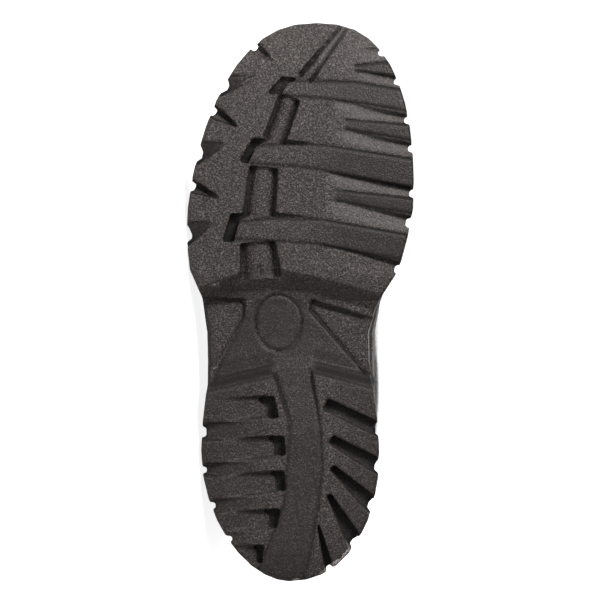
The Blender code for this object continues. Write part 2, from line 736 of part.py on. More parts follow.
def make_upper(grid, material, parent):
    points, normals = grid
    bm = bmesh.new()
    outer = {}
    inner = {}
    for row in range(COLLAR_ROW + 1):
        for i in range(2 * STATIONS):
            if row > THROAT_ROW and side_column(i) > THROAT_COLUMN:
                continue
            spot = Vector(points[row][i])
            inside = spot - Vector(normals[row][i]) * wall_at(row, i)
            if row == 0:
                inside.z = spot.z
            outer[row, i] = bm.verts.new(spot)
            inner[row, i] = bm.verts.new(inside)

    def cell(row, i):
        j = (i + 1) % (2 * STATIONS)
        corners = [(row, i), (row, j), (row + 1, j), (row + 1, i)]
        return corners if all(corner in outer for corner in corners) else None

    cells = [cell(row, i) for row in range(COLLAR_ROW) for i in range(2 * STATIONS)]
    cells = [corners for corners in cells if corners]
    edges = {}
    for corners in cells:
        bm.faces.new([outer[c] for c in corners])
        bm.faces.new([inner[c] for c in reversed(corners)])
        for a, b in zip(corners, corners[1:] + corners[:1]):
            edges[a, b] = True
    for a, b in edges:
        if (b, a) not in edges:
            bm.faces.new((outer[b], outer[a], inner[a], inner[b]))
    loose = [vert for vert in bm.verts if not vert.link_faces]
    bmesh.ops.delete(bm, geom=loose, context="VERTS")
    return finish_mesh(bm, "upper", material, parent)


def make_insole(material, parent):
    inset = RIM_WALL + GAP + LEATHER + INSOLE_PLAY
    rings = [
        sole_ring("rim", inset, lambda x: bed_z(x) + GAP),
        sole_ring("rim", inset, lambda x: bed_z(x) + GAP + INSOLE_THICK - 1.0),
        sole_ring("rim", inset + 1.0, lambda x: bed_z(x) + GAP + INSOLE_THICK),
    ]
    bm = bmesh.new()
    rows = add_rings(bm, rings)
    add_cap(bm, rows[0])
    add_cap(bm, rows[-1])
    return finish_mesh(bm, "insole", material, parent)


def make_tongue(grid, material, parent):
    """A padded sheet behind the facings, a little longer than the collar is high."""
    points, normals = grid
    columns = range(STATIONS - TONGUE_COLUMNS, STATIONS + TONGUE_COLUMNS + 1)
    bm = bmesh.new()
    rings = []
    for row in range(TONGUE_ROW, len(HEIGHTS)):
        def shifted(i, depth):
            return Vector(points[row][i]) - Vector(normals[row][i]) * depth
        near = LEATHER + GAP + 0.15
        front = [shifted(i, near) for i in columns]
        behind = [shifted(i, near + TONGUE_THICK) for i in reversed(columns)]
        rings.append(front + behind)
    rows = add_rings(bm, rings)
    count = len(columns)
    for row in (rows[0], rows[-1]):
        for k in range(count - 1):
            bm.faces.new((row[k], row[k + 1], row[2 * count - 2 - k], row[2 * count - 1 - k]))
    return finish_mesh(bm, "tongue", material, parent)


# ---------------------------------------------------------------- eyelets and laces
def instep_point(height, across):
    """A point of the outer surface, 'across' millimetres from the ridge, medial positive."""
    side = "medial" if across >= 0.0 else "lateral"
    if abs(across) < 0.5:
        x = front_x(height)
    else:
        x = x_at_half(height, abs(across), side)
    return Vector((x, look_up(RIDGE, "x", "y", x) + across, surface_z(x, height)))


def instep_normal(height, across):
    step = 1.5
    up = instep_point(height + step, across) - instep_point(height - step, across)
    side = instep_point(height, across + step) - instep_point(height, across - step)
    normal = side.cross(up).normalized()
    return normal if normal.x > 0.0 else -normal


def seat_on(leather, spot, normal):
    """The spot raised along its normal until a flange there clears the leather's facets."""
    first = normal.orthogonal().normalized()
    second = normal.cross(first)
    lift = 0.0
    for step in range(EYELET_SIDES):
        angle = 2.0 * math.pi * step / EYELET_SIDES
        start = spot + (first * math.cos(angle) + second * math.sin(angle)) * FLANGE_RADIUS
        hit = leather.ray_cast((start + normal * 9.0) * MM, -normal)[0]
        lift = max(lift, (hit / MM - spot).dot(normal))
    return spot + normal * lift


def eyelet_seats(upper):
    """Height, place and normal of every eyelet: rows from the vamp up, lateral then medial."""
    mesh = upper.data
    corners = [vert.co.copy() for vert in mesh.vertices]
    leather = BVHTree.FromPolygons(corners, [tuple(face.vertices) for face in mesh.polygons])
    seats = []
    first, last = VAMP_POINT + 7.0, COLLAR_FRONT - 6.0
    for pair in range(EYELET_PAIRS):
        height = first + (last - first) * pair / (EYELET_PAIRS - 1)
        half = throat_half(height) + EYELET_BACK
        row = []
        for across in (-half, half):
            normal = instep_normal(height, across)
            spot = seat_on(leather, instep_point(height, across), normal)
            row.append((height, across, spot, normal))
        seats.append(row)
    return seats


def turned(bm, profile, seat, axis, sides):
    """Turns a closed profile of (radius, height) rows about an axis through the seat."""
    helper = axis.orthogonal().normalized()
    other = axis.cross(helper)
    rings = []
    for step in range(sides):
        angle = 2.0 * math.pi * step / sides
        out = helper * math.cos(angle) + other * math.sin(angle)
        rings.append([seat + out * radius + axis * height for radius, height in profile])
    add_rings(bm, rings + [rings[0]])
    bmesh.ops.remove_doubles(bm, verts=bm.verts, dist=0.001)


def make_eyelets(seats, upper, material, parent):
    profile = [
        (BORE_RADIUS, -1.9),
        (BARREL_RADIUS, -1.9),
        (BARREL_RADIUS, GAP),
        (FLANGE_RADIUS, GAP),
        (FLANGE_RADIUS - 0.2, GAP + 0.6),
        (BARREL_RADIUS, GAP + 1.0),
        (BORE_RADIUS, GAP + 0.5),
    ]
    hole_radius = BARREL_RADIUS + GAP
    drill = [(0.0, -7.0), (hole_radius, -7.0), (hole_radius, 6.0), (0.0, 6.0)]
    holes = bmesh.new()
    for pair, row in enumerate(seats, start=1):
        for side, (_, _, spot, normal) in zip(("outer", "inner"), row):
            bm = bmesh.new()
            turned(bm, profile, spot, normal, EYELET_SIDES)
            finish_mesh(bm, f"eyelet_{side}_{pair}", material, parent)
            turned(holes, drill, spot, normal, EYELET_SIDES)
    drills = finish_mesh(holes, "cutter_eyelets", None, parent, merge=0.001)
    cut(upper, drills, drills.name)


def lace_strand(name, start, end, parent):
    """A strand between the posts of two eyelets, raised over the flanges and over the gap."""
    (h0, a0, p0, n0), (h1, a1, p1, n1) = start, end
    path = [p0 + n0 * LACE_LIFT]
    for share in (0.25, 0.5, 0.75):
        height = h0 + (h1 - h0) * share
        across = a0 + (a1 - a0) * share
        path.append(instep_point(height, across) + instep_normal(height, across) * LACE_LIFT)
    path.append(p1 + n1 * LACE_LIFT)
    first = (p1 - p0).cross(n0 + n1).normalized()
    rings = []
    for i, spot in enumerate(path):
        ahead = path[min(i + 1, len(path) - 1)]
        behind = path[max(i - 1, 0)]
        second = (ahead - behind).cross(first).normalized()
        ring = []
        for step in range(LACE_SIDES):
            angle = 2.0 * math.pi * step / LACE_SIDES
            offset = first * math.cos(angle) + second * math.sin(angle)
            ring.append(spot + offset * LACE_RADIUS)
        rings.append(ring)
    bm = bmesh.new()
    rows = add_rings(bm, rings)
    bm.faces.new(rows[0])
    bm.faces.new(rows[-1])
    return finish_mesh(bm, name, None, parent)


def lace_post(name, seat, material, parent):
    """The stretch of lace that stands in an eyelet, where two strands meet."""
    _, _, spot, normal = seat
    top = LACE_LIFT + 0.6 * LACE_RADIUS
    bm = bmesh.new()
    profile = [(0.0, -LACE_SUNK), (POST_RADIUS, -LACE_SUNK), (POST_RADIUS, top), (0.0, top)]
    turned(bm, profile, spot, normal, LACE_SIDES + 2)
    return finish_mesh(bm, name, material, parent, merge=0.001)


def make_laces(seats, material, parent):
    """One bar at the vamp and a cross between each two pairs, joined at the eyelets."""
    laces = lace_post("laces", seats[0][0], material, parent)
    pieces = [lace_strand("strand_bar", seats[0][0], seats[0][1], parent)]
    pieces.append(lace_post("post_0_1", seats[0][1], None, parent))
    for pair, (low, high) in enumerate(zip(seats, seats[1:]), start=1):
        for side in (0, 1):
            strand = f"strand_{pair}_{side}"
            pieces.append(lace_strand(strand, low[side], high[1 - side], parent))
            pieces.append(lace_post(f"post_{pair}_{side}", high[1 - side], None, parent))
    for piece in pieces:
        cut(laces, piece, piece.name, "UNION")
    return laces


# ---------------------------------------------------------------- laying the boot down
def resting_face(points, centre):
    """Outward normal of the hull face below the centre, when the lateral side faces down."""
    bm = bmesh.new()
    for point in points:
        bm.verts.new(point)
    hull = bmesh.ops.convex_hull(bm, input=bm.verts)
    best = None
    for face in hull["geom"]:
        if not isinstance(face, bmesh.types.BMFace):
            continue
        normal = face.normal.copy()
        corner = face.verts[0].co
        if (corner - centre).dot(normal) < 0.0:
            normal.negate()
        foot = centre + normal * (corner - centre).dot(normal)
        sides = []
        verts = [vert.co for vert in face.verts]
        for a, b in zip(verts, verts[1:] + verts[:1]):
            sides.append((b - a).cross(foot - a).dot(normal))
        inside = all(value >= 0.0 for value in sides) or all(value <= 0.0 for value in sides)
        if inside and normal.y < -0.7:
            best = normal
    bm.free()
    return best


def lay_down(shoe, outer_points):
    """Turns the empty so that the resting face is the floor and the toe points to -X."""
    centre = Vector((128.0, -4.0, 40.0)) * MM
    down = resting_face(outer_points, centre)
    up = -down
    to_heel = Vector((-1.0, 0.0, 0.0))
    side = (to_heel - up * to_heel.dot(up)).normalized()
    third = up.cross(side)
    turn = Matrix((side, third, up))
    turned_points = np.array([tuple(turn @ point) for point in outer_points])
    low = turned_points.min(axis=0)
    high = turned_points.max(axis=0)
    shift = Vector((-0.5 * (low[0] + high[0]), -0.5 * (low[1] + high[1]), -low[2]))
    shoe.matrix_world = Matrix.Translation(shift) @ turn.to_4x4()


def main():
    for thing in list(bpy.data.objects):
        bpy.data.objects.remove(thing)
    shoe = bpy.data.objects.new("shoe", None)
    bpy.context.scene.collection.objects.link(shoe)
    rubber = make_material("rubber", (0.045, 0.040, 0.038), 0.62)
    leather = make_material("leather", (0.018, 0.017, 0.018), 0.28)
    lining = make_material("lining", (0.030, 0.030, 0.032), 0.85)
    enamel = make_material("enamel", (0.020, 0.020, 0.022), 0.35, 0.6)
    cord = make_material("cord", (0.022, 0.022, 0.024), 0.80)

    outsole = make_outsole(rubber, shoe)
    grid = surface_grid()
    upper = make_upper(grid, leather, shoe)
    make_insole(lining, shoe)
    tongue = make_tongue(grid, leather, shoe)
    seats = eyelet_seats(upper)
    make_eyelets(seats, upper, enamel, shoe)
    make_laces(seats, cord, shoe)
    outer_points = [vert.co.copy() for thing in (outsole, upper, tongue) for vert in thing.data.vertices]
    lay_down(shoe, outer_points)


main()
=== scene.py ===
# %% [markdown]
# # Dressing a chukka boot
#
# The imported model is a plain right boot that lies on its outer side. This lesson gives it the
# surfaces of the real thing: a moulded rubber sole with crinkled lugs, a polished leather upper
# with its panels and stitches, a padded collar, a tongue, metal eyelets and woven laces.
#
# Everything is drawn upright and in millimetres, as a last maker would: x from the back of the
# heel to the toe, y across with the inner side positive, z up from the plane the lugs stand on.
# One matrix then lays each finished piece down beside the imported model.

import json
import math

import bpy
import numpy as np
from mathutils import Matrix, Vector
from mathutils.bvhtree import BVHTree


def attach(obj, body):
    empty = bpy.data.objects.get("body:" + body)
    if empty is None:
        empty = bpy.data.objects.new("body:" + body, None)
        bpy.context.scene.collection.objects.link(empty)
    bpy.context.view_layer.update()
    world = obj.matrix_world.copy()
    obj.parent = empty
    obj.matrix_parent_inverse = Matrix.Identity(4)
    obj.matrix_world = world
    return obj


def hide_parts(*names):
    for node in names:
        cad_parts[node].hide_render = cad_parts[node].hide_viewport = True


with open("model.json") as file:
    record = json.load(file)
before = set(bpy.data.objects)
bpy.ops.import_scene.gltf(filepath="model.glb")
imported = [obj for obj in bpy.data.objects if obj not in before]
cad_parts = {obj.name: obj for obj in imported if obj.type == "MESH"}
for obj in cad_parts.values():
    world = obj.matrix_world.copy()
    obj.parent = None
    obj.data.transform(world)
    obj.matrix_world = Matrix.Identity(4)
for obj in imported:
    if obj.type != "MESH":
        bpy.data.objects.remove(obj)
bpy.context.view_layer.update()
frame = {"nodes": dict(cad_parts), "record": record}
print("packed nodes:", sorted(frame["nodes"]))

# %% [markdown]
# The record names two flat places of the tread, one under the heel and one behind the ball. They
# lie in one plane and 132 mm apart along the boot, so together they say how the boot is turned:
# from one to the other is towards the toe, and against the tread's normal is up.

# %% Find the upright directions
MM = 0.001
HEEL_PLACE_X, PLACE_Y = 50.0, 5.0

mounts = {mount["name"]: mount for mount in frame["record"]["mounts"]}
heel_place = Vector(mounts["heel_tread"]["pos_m"])
ball_place = Vector(mounts["forefoot_tread"]["pos_m"])
toeward = (ball_place - heel_place).normalized()
upward = -Vector(mounts["heel_tread"]["axis"]).normalized()
inward = upward.cross(toeward).normalized()
LAY_DOWN = Matrix((toeward, inward, upward)).transposed().to_4x4()
LAY_DOWN.translation = heel_place - toeward * HEEL_PLACE_X * MM - inward * PLACE_Y * MM
STAND_UP = LAY_DOWN.inverted()
print("toe points to", [round(v, 3) for v in toeward])


# %% [markdown]
# ## Small tools
#
# An operator works on whatever is selected, so each step first lets go of everything and then
# takes hold of one object. A modifier is added, set and applied in one call.

# %% Tools for objects
WELD = 0.005         # points closer than this, in millimetres, become one


def let_go():
    if bpy.context.object and bpy.context.object.mode != "OBJECT":
        bpy.ops.object.mode_set(mode="OBJECT")
    bpy.ops.object.select_all(action="DESELECT")


def take(thing):
    let_go()
    thing.select_set(True)
    bpy.context.view_layer.objects.active = thing


def edit_all(thing):
    """Takes an object and opens its mesh with everything in it selected."""
    take(thing)
    bpy.ops.object.mode_set(mode="EDIT")
    bpy.ops.mesh.select_all(action="SELECT")


def shape_with(thing, kind, **settings):
    """Adds one modifier, sets it and applies it."""
    take(thing)
    bpy.ops.object.modifier_add(type=kind)
    modifier = thing.modifiers[-1]
    for name, value in settings.items():
        setattr(modifier, name, value)
    bpy.ops.object.modifier_apply(modifier=modifier.name)


def new_object(name, data):
    thing = bpy.data.objects.new(name, data)
    bpy.context.scene.collection.objects.link(thing)
    return thing


def new_mesh(name, points, faces):
    """An object made of points in millimetres and of faces."""
    mesh = bpy.data.meshes.new(name)
    mesh.from_pydata((np.asarray(points) * MM).tolist(), [], faces)
    return new_object(name, mesh)


def upright_copy(node_name, name):
    """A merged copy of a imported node, stood up."""
    mesh = frame["nodes"][node_name].data.copy()
    mesh.materials.clear()
    mesh.transform(STAND_UP)
    thing = new_object(name, mesh)
    edit_all(thing)
    bpy.ops.mesh.remove_doubles(threshold=WELD * MM)
    bpy.ops.object.mode_set(mode="OBJECT")
    return thing


# %% Tools for points
def triples(values, label):
    flat = np.zeros(len(values) * 3)
    values.foreach_get(label, flat)
    return flat.reshape(-1, 3)


def points_of(thing):
    """The mesh's points as an array in millimetres."""
    return triples(thing.data.vertices, "co") / MM


def normals_of(thing):
    return triples(thing.data.vertex_normals, "vector")


def move_points(thing, points):
    thing.data.vertices.foreach_set("co", (points * MM).ravel())
    thing.data.update()


def triangles(thing):
    return sum(len(face.vertices) - 2 for face in thing.data.polygons)


# %% [markdown]
# The boot lies on its outer side. Leather that would dip a little under the floor gives instead:
# whatever is lower than a few millimetres is pressed together above the floor. Rubber doesn't.

# %% Finish a piece
GIVE_HEIGHT, GIVE_DIP = 7.0, 3.0     # leather lower than this is pressed; how far it would dip


def rest_on_floor(thing):
    points = points_of(thing)
    height = points[:, 2]
    reach = GIVE_HEIGHT + GIVE_DIP
    low = np.clip((GIVE_HEIGHT - height) / reach, 0.0, 1.0)
    start = reach / GIVE_HEIGHT
    pressed = GIVE_HEIGHT * (1.0 - start * low - (1.0 - start) * low ** 2)
    points[:, 2] = np.where(height < GIVE_HEIGHT, pressed, height)
    move_points(thing, points)


def finish(thing, material, slot, nodes=(), sharp=40.0):
    """Lays a piece down, shades it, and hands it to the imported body."""
    thing.data.transform(LAY_DOWN)
    if slot != "rubber":
        rest_on_floor(thing)
    thing.data.materials.clear()
    thing.data.materials.append(material)
    take(thing)
    bpy.ops.object.shade_smooth_by_angle(angle=math.radians(sharp))
    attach(thing, "root")
    if nodes:
        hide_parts(*nodes)
    print(thing.name, triangles(thing), "triangles,", np.ptp(points_of(thing), axis=0).round(1), "mm")


# %% [markdown]
# Three functions shape almost everything that follows: a step with soft ends, a bell, and a
# smooth curve through the rows of a table that never swings past a row's own number.

# %% Tools for numbers
def soft_step(value, start, end):
    t = np.clip((value - start) / (end - start), 0.0, 1.0)
    return t * t * (3.0 - 2.0 * t)


def bell(value, middle, half):
    """1 at the middle, falling away on both sides."""
    return np.exp(-(((value - middle) / half) ** 2))


def curve(table, at, column=1):
    xs = np.array([row[0] for row in table], float)
    ys = np.array([row[column] for row in table], float)
    rise = np.diff(ys) / np.diff(xs)
    same = rise[:-1] * rise[1:] > 0.0
    slope = np.zeros(len(xs))
    slope[1:-1] = np.where(same, 2 * rise[:-1] * rise[1:] / np.where(same, rise[:-1] + rise[1:], 1.0), 0.0)
    at = np.clip(at, xs[0], xs[-1])
    i = np.clip(np.searchsorted(xs, at, side="right") - 1, 0, len(xs) - 2)
    step = xs[i + 1] - xs[i]
    t = (at - xs[i]) / step
    return (ys[i] * (1 + 2 * t) * (1 - t) ** 2 + slope[i] * step * t * (1 - t) ** 2
            + ys[i + 1] * t * t * (3 - 2 * t) + slope[i + 1] * step * t * t * (t - 1))


def unit(vectors):
    """The same directions, each one long."""
    return vectors / np.linalg.norm(vectors, axis=-1, keepdims=True)


def grid(rows, columns):
    """v climbs the rows from 0 to 1, and u runs along the columns from -1 to 1."""
    return np.linspace(0.0, 1.0, rows)[:, None], np.linspace(-1.0, 1.0, columns)[None, :]


# %% [markdown]
# ## Shared effects
#
# Rubber, leather and cord each need more than a colour. Three node groups are made once and
# placed in every material that wants them: a crinkle for moulded rubber, a grain for leather and
# a weave for cloth and laces. They give out only masks and heights; the shader stays outside.

# %% A kit for nodes
def connect(tree, inputs, values):
    """Sets each input to a number or a colour, or links it to a socket."""
    for name, value in values.items():
        if isinstance(value, bpy.types.NodeSocket):
            tree.links.new(value, inputs[name])
        else:
            inputs[name].default_value = value


def node(tree, kind, values=None, **settings):
    made = tree.nodes.new("ShaderNode" + kind)
    for name, value in settings.items():
        setattr(made, name, value)
    connect(tree, made.inputs, values or {})
    return made.outputs


def calc(tree, operation, first, second, clamp=False):
    return node(tree, "Math", {0: first, 1: second}, operation=operation, use_clamp=clamp)[0]


def times(tree, first, second):
    return calc(tree, "MULTIPLY", first, second)


def plus(tree, first, second, clamp=False):
    return calc(tree, "ADD", first, second, clamp)


def ramp(tree, value, low, high, to_low=0.0, to_high=1.0):
    return node(tree, "MapRange", {"Value": value, "From Min": low, "From Max": high,
                                   "To Min": to_low, "To Max": to_high}, clamp=True)["Result"]


def mix(tree, mask, first, second):
    """A colour between two others, each a socket or three numbers."""
    ends = [(*end, 1.0) if isinstance(end, tuple) else end for end in (first, second)]
    return node(tree, "Mix", {0: mask, 6: ends[0], 7: ends[1]}, data_type="RGBA")[2]


def noise(tree, spot, scale, detail, rough=0.5):
    values = {"Vector": spot, "Scale": scale, "Detail": detail, "Roughness": rough}
    return node(tree, "TexNoise", values)["Fac"]


def bump(tree, height, distance, strength):
    return node(tree, "Bump", {"Height": height, "Distance": distance, "Strength": strength})["Normal"]


def new_group(name, numbers, results):
    """A group that takes a place and some numbers, with its own inputs and outputs."""
    tree = bpy.data.node_groups.new(name, "ShaderNodeTree")
    tree.interface.new_socket("Vector", in_out="INPUT", socket_type="NodeSocketVector")
    for label, value in numbers.items():
        socket = tree.interface.new_socket(label, in_out="INPUT", socket_type="NodeSocketFloat")
        socket.default_value = value
    for label in results:
        tree.interface.new_socket(label, in_out="OUTPUT", socket_type="NodeSocketFloat")
    return tree, tree.nodes.new("NodeGroupInput").outputs, tree.nodes.new("NodeGroupOutput").inputs


# %% The crinkle of moulded rubber
CRINKLE_SIZE = 0.9         # millimetres from one hump to the next, about


def make_crinkle():
    tree, given, wanted = new_group("moulded crinkle", {}, ["Height", "Glint", "Cloud"])
    spot = given["Vector"]
    coarse = noise(tree, spot, 1000.0 / CRINKLE_SIZE, 2.0, 0.6)
    grains = node(tree, "TexVoronoi", {"Vector": spot, "Randomness": 1.0, "Scale": 980.0 / CRINKLE_SIZE})
    humps = ramp(tree, grains["Distance"], 0.05, 0.75, 1.0, 0.0)
    # Glint is a mask for painted glints: bright specks put into the colour where the crinkle peaks.
    peaks = ramp(tree, coarse, 0.44, 0.68)
    painted_glint_tips = ramp(tree, grains["Distance"], 0.75, 0.20, 0.25, 1.0)
    connect(tree, wanted, {"Height": plus(tree, times(tree, humps, 0.55), coarse),
                           "Glint": times(tree, peaks, painted_glint_tips),
                           "Cloud": noise(tree, spot, 55.0, 3.0)})
    return tree


CRINKLE = make_crinkle()


# %% The grain of leather
def make_grain():
    tree, given, wanted = new_group("leather grain", {}, ["Height", "Tone"])
    spot = given["Vector"]
    cells = node(tree, "TexVoronoi", {"Vector": spot, "Scale": 900.0}, feature="DISTANCE_TO_EDGE")
    pores = ramp(tree, cells["Distance"], 0.0, 0.12)
    folds = noise(tree, spot, 260.0, 4.0, 0.6)
    connect(tree, wanted, {"Height": plus(tree, times(tree, pores, 0.5), folds),
                           "Tone": noise(tree, spot, 24.0, 3.0)})
    return tree


GRAIN = make_grain()


# %% The weave of cloth and laces
def make_weave():
    tree, given, wanted = new_group("weave", {"Across": 12.0, "Along": 500.0}, ["Height", "Tone"])
    parts = node(tree, "SeparateXYZ", {0: given["Vector"]})
    warp = times(tree, parts["X"], given["Across"])
    weft = times(tree, parts["Y"], given["Along"])
    waves = [calc(tree, "SINE", times(tree, calc(tree, way, warp, weft), math.tau), 0.0)
             for way in ("ADD", "SUBTRACT")]
    height = ramp(tree, calc(tree, "MAXIMUM", *waves), -0.4, 1.0)
    fuzz = ramp(tree, noise(tree, given["Vector"], 900.0, 2.0), 0.2, 0.8, 0.6, 1.0)
    connect(tree, wanted, {"Height": height, "Tone": times(tree, height, fuzz)})
    return tree


WEAVE = make_weave()
print("groups:", CRINKLE.name, GRAIN.name, WEAVE.name)


# %% [markdown]
# ## The sole's rubber
#
# The lugs came out of an etched mould, so their faces are speckled, while the crossing bars and
# the waist are smoother. The mesh carries a number called "grain" that says how much of the
# etching each point has, and the material turns it into bumps, painted glints on the crinkle's
# tips and, where the etching number is highest, a painted sheen: light painted into the colour.
# A second number says how far a point lies in a groove or a corner, and there the material paints
# shade into the colour. A third number marks pale patches in the colour near the outline.

# %% The rubber
SMOOTH_RUBBER = (0.0080, 0.0056, 0.0049)
ETCHED_DARK, ETCHED_PALE = (0.0150, 0.0106, 0.0095), (0.0270, 0.0198, 0.0180)
# A painted sheen: a light grey put into the colour of the most etched rubber, on the ramps beside the
# fingers, which face the key light.
PAINTED_SHEEN = (0.068, 0.0625, 0.0605)    # the most etched rubber, on the ramps beside the fingers
# Painted glints: bright specks put into the colour on the crinkle's tips in place of highlights, and the
# colour of the pale patches near the outline.
PAINTED_GLINT, PALE_PATCH_COLOUR = (0.330, 0.288, 0.270), (0.34, 0.30, 0.285)
# The colour of painted shade.
IN_SHADE = (0.0022, 0.0018, 0.0016)
RUBBER_SHINE = 0.26


def new_material(name):
    """A material, its nodes, the shader's inputs and the place on the surface."""
    material = bpy.data.materials.new(name)
    material.use_nodes = True
    tree = material.node_tree
    return material, tree, tree.nodes["Principled BSDF"].inputs, node(tree, "TexCoord")["Object"]


def effect(tree, group, spot, **values):
    return node(tree, "Group", {"Vector": spot, **values}, node_tree=group)


def make_rubber():
    material, tree, shader, spot = new_material("moulded rubber")
    crinkle = effect(tree, CRINKLE, spot)
    grain, painted_shade, pale_patch = (node(tree, "Attribute", attribute_name=name)["Fac"]
                            for name in ("grain", "painted_shade", "pale_patch"))
    etched = mix(tree, ramp(tree, crinkle["Cloud"], 0.3, 0.7), ETCHED_DARK, ETCHED_PALE)
    base = mix(tree, grain, SMOOTH_RUBBER, etched)
    # Painted sheen: the colour turns light grey where the etching number is highest, mostly on the ramps.
    painted_sheen = mix(tree, ramp(tree, grain, 0.40, 1.0), base, PAINTED_SHEEN)
    # Painted glints on the crinkle's tips, fewer where the rubber is smooth.
    painted_glint_tips = times(tree, crinkle["Glint"], calc(tree, "MINIMUM", grain, 0.45))
    # Painted shade darkens the colour in the hollows, over the glints and the sheen.
    colour = mix(tree, times(tree, painted_shade, 0.88), mix(tree, painted_glint_tips, painted_sheen, PAINTED_GLINT), IN_SHADE)
    # Pale patches near the outline, broken up by the crinkle.
    patchy = ramp(tree, plus(tree, pale_patch, crinkle["Cloud"]), 1.0, 1.2)
    pale_patch_mask = times(tree, patchy, ramp(tree, crinkle["Glint"], 0.0, 0.35, 0.25, 1.0))
    polish = plus(tree, 0.42, times(tree, grain, 0.06))
    height = times(tree, crinkle["Height"], plus(tree, times(tree, grain, 0.85), 0.15))
    connect(tree, shader, {"Base Color": mix(tree, pale_patch_mask, colour, PALE_PATCH_COLOUR),
                           "Roughness": plus(tree, polish, times(tree, painted_shade, 0.40), clamp=True),
                           "Normal": bump(tree, height, 0.0011, 1.0),
                           "Specular IOR Level": RUBBER_SHINE})
    return material


RUBBER = make_rubber()

# %% [markdown]
# Where is the etching coarse, and where smooth? Three bars cross the forefoot and three fingers
# reach in from the inner edge between them. Each is written down by its front and back edges, as
# (x, y) points from the outer to the inner side. The waist lies between two curves of its own,
# and a smooth strip runs along the heel. Six more lines edge the waist's two panels, the channel
# across the toe and the fronts of the heel's lugs.

# %% The lines of the tread
SOLE_LENGTH = 292.0
SPRING_START, TOE_SPRING = 215.0, 14.0
HEEL_ROLL_END, HEEL_ROLL = 14.0, 1.5
BARS_AND_FINGERS = [
    ([(261, -3), (260.5, 28), (255.8, 56)], [(253.2, -9), (251.7, 9.4), (248.6, 33), (243.9, 60)]),
    ([(226.2, -24), (227.8, -9), (227.2, 12.5), (218.9, 64)],
     [(217.9, -28), (214.8, 7), (211.1, 23), (203.8, 64)]),
    ([(186.7, -34), (188.8, -17), (188.2, 12.5), (178.9, 64)],
     [(178.4, -35), (176.8, -9), (175.8, 7), (165.9, 60)]),
    ([(269.2, 29), (271.9, 52)], [(266, 29), (262.9, 52)]),
    ([(240.6, 24), (237.7, 64)], [(235.2, 24), (228.3, 64)]),
    ([(203.9, 18.7), (199.2, 64)], [(198.1, 18.7), (190.2, 64)]),
]
WAIST_FRONT = [(148.9, -66), (155.5, -48.4), (161.7, -31.7), (163.6, -13), (160.6, 5.7), (156, 22.9),
               (149.8, 44.2), (143.4, 66)]
WAIST_BACK = [(94.5, -66), (98.8, -48.4), (102.7, -31.7), (107.1, -13), (108.7, 5.7), (104.6, 22.9),
              (99.4, 44.2), (94, 66)]
HEEL_STRIP = [[(0, -24), (12, -19), (40, -8.5), (60, -6.5), (83, -5.2), (108, -13.4)],
              [(0, 2), (12, 5), (31, 8.5), (60, 12), (79, 10.8), (108, 6.3)]]
EDGES = [
    [(147.7, -52), (146.1, -30.7), (143.5, -28.6), (137.3, -29.6), (105, -45.2)],
    [(137.8, 33), (144, 9.4), (146.0, 6.8), (144.6, 5.2), (141.4, 5.9), (106, 36)],
    [(262.6, -0.5), (289, 21.0)],
    [(262.6, 7.3), (288, 24.0)],
    [(99.3, -48), (107.0, -12.5)],
    [(109.2, 7.0), (100.9, 37)],
]
print(len(BARS_AND_FINGERS), "bars and fingers,", len(EDGES), "edge lines")


# %% Measure from the lines
def tread_height(x):
    spring = np.clip(x - SPRING_START, 0.0, None) / (SOLE_LENGTH - SPRING_START)
    roll = np.clip(HEEL_ROLL_END - x, 0.0, None) / HEEL_ROLL_END
    return TOE_SPRING * spring ** 2 + HEEL_ROLL * roll ** 2


def along(line, y):
    """x of a line drawn across the sole, at each y."""
    return np.interp(y, [p[1] for p in line], [p[0] for p in line])


def beside(line, x):
    """y of a line drawn along the sole, at each x."""
    return np.interp(x, [p[0] for p in line], [p[1] for p in line])


def away_from(line, x, y):
    """Distance of each point from a line of (x, y) corners."""
    nearest = np.full(len(x), np.inf)
    for (x0, y0), (x1, y1) in zip(line, line[1:]):
        run, across = x1 - x0, y1 - y0
        share = np.clip(((x - x0) * run + (y - y0) * across) / (run ** 2 + across ** 2), 0.0, 1.0)
        nearest = np.minimum(nearest, np.hypot(x - x0 - share * run, y - y0 - share * across))
    return nearest


# %% [markdown]
# The moulded forms meet in thin dark lines, and the heel's lugs end in a steep wall towards the
# waist on both sides of the smooth strip. Both are wanted twice: once to press the mesh, and once
# to shade it.

# %% Find the thin lines and the heel's front wall
LINE_REACH = 0.9
LUG_SETBACK, STRIP_MIDDLE = 1.2, -3.5
TROUGH_PLACE, TROUGH_HALF = 2.2, 2.6


def edge_lines(points):
    """How close each point is to one of the thin lines that edge the moulded forms."""
    x, y, z = points.T
    lines = [line for edges in BARS_AND_FINGERS for line in edges] + HEEL_STRIP + EDGES
    return bell(np.min([away_from(line, x, y) for line in lines], axis=0), 0.0, LINE_REACH)


def heel_front(points):
    """How far each point lies ahead of the heel's lugs, and where they have a front wall."""
    x, y, z = points.T
    ahead = x - along(WAIST_BACK, y) - LUG_SETBACK
    return ahead, soft_step(np.abs(y - STRIP_MIDDLE), 9.0, 13.0)


def heel_trough(points):
    """The shade along the foot of that wall."""
    ahead, walled = heel_front(points)
    return walled * bell(ahead, TROUGH_PLACE, TROUGH_HALF)


# %% Say how etched each place is
ETCHED = {"plateau": 0.37, "toe": 0.45, "bar": 0.32, "bar's inner end": 0.10, "waist": 0.12,
          "waist's front wall": 0.20, "panel": 0.43, "heel": 0.18, "beside the strip": 0.38, "strip": 0.17,
          "recess": 0.10, "side": 0.25, "else": 0.22}
FOREFOOT_X, WALL_X, PANEL_X, STRIP_END_X = 158.0, 147.0, 146.0, 112.0


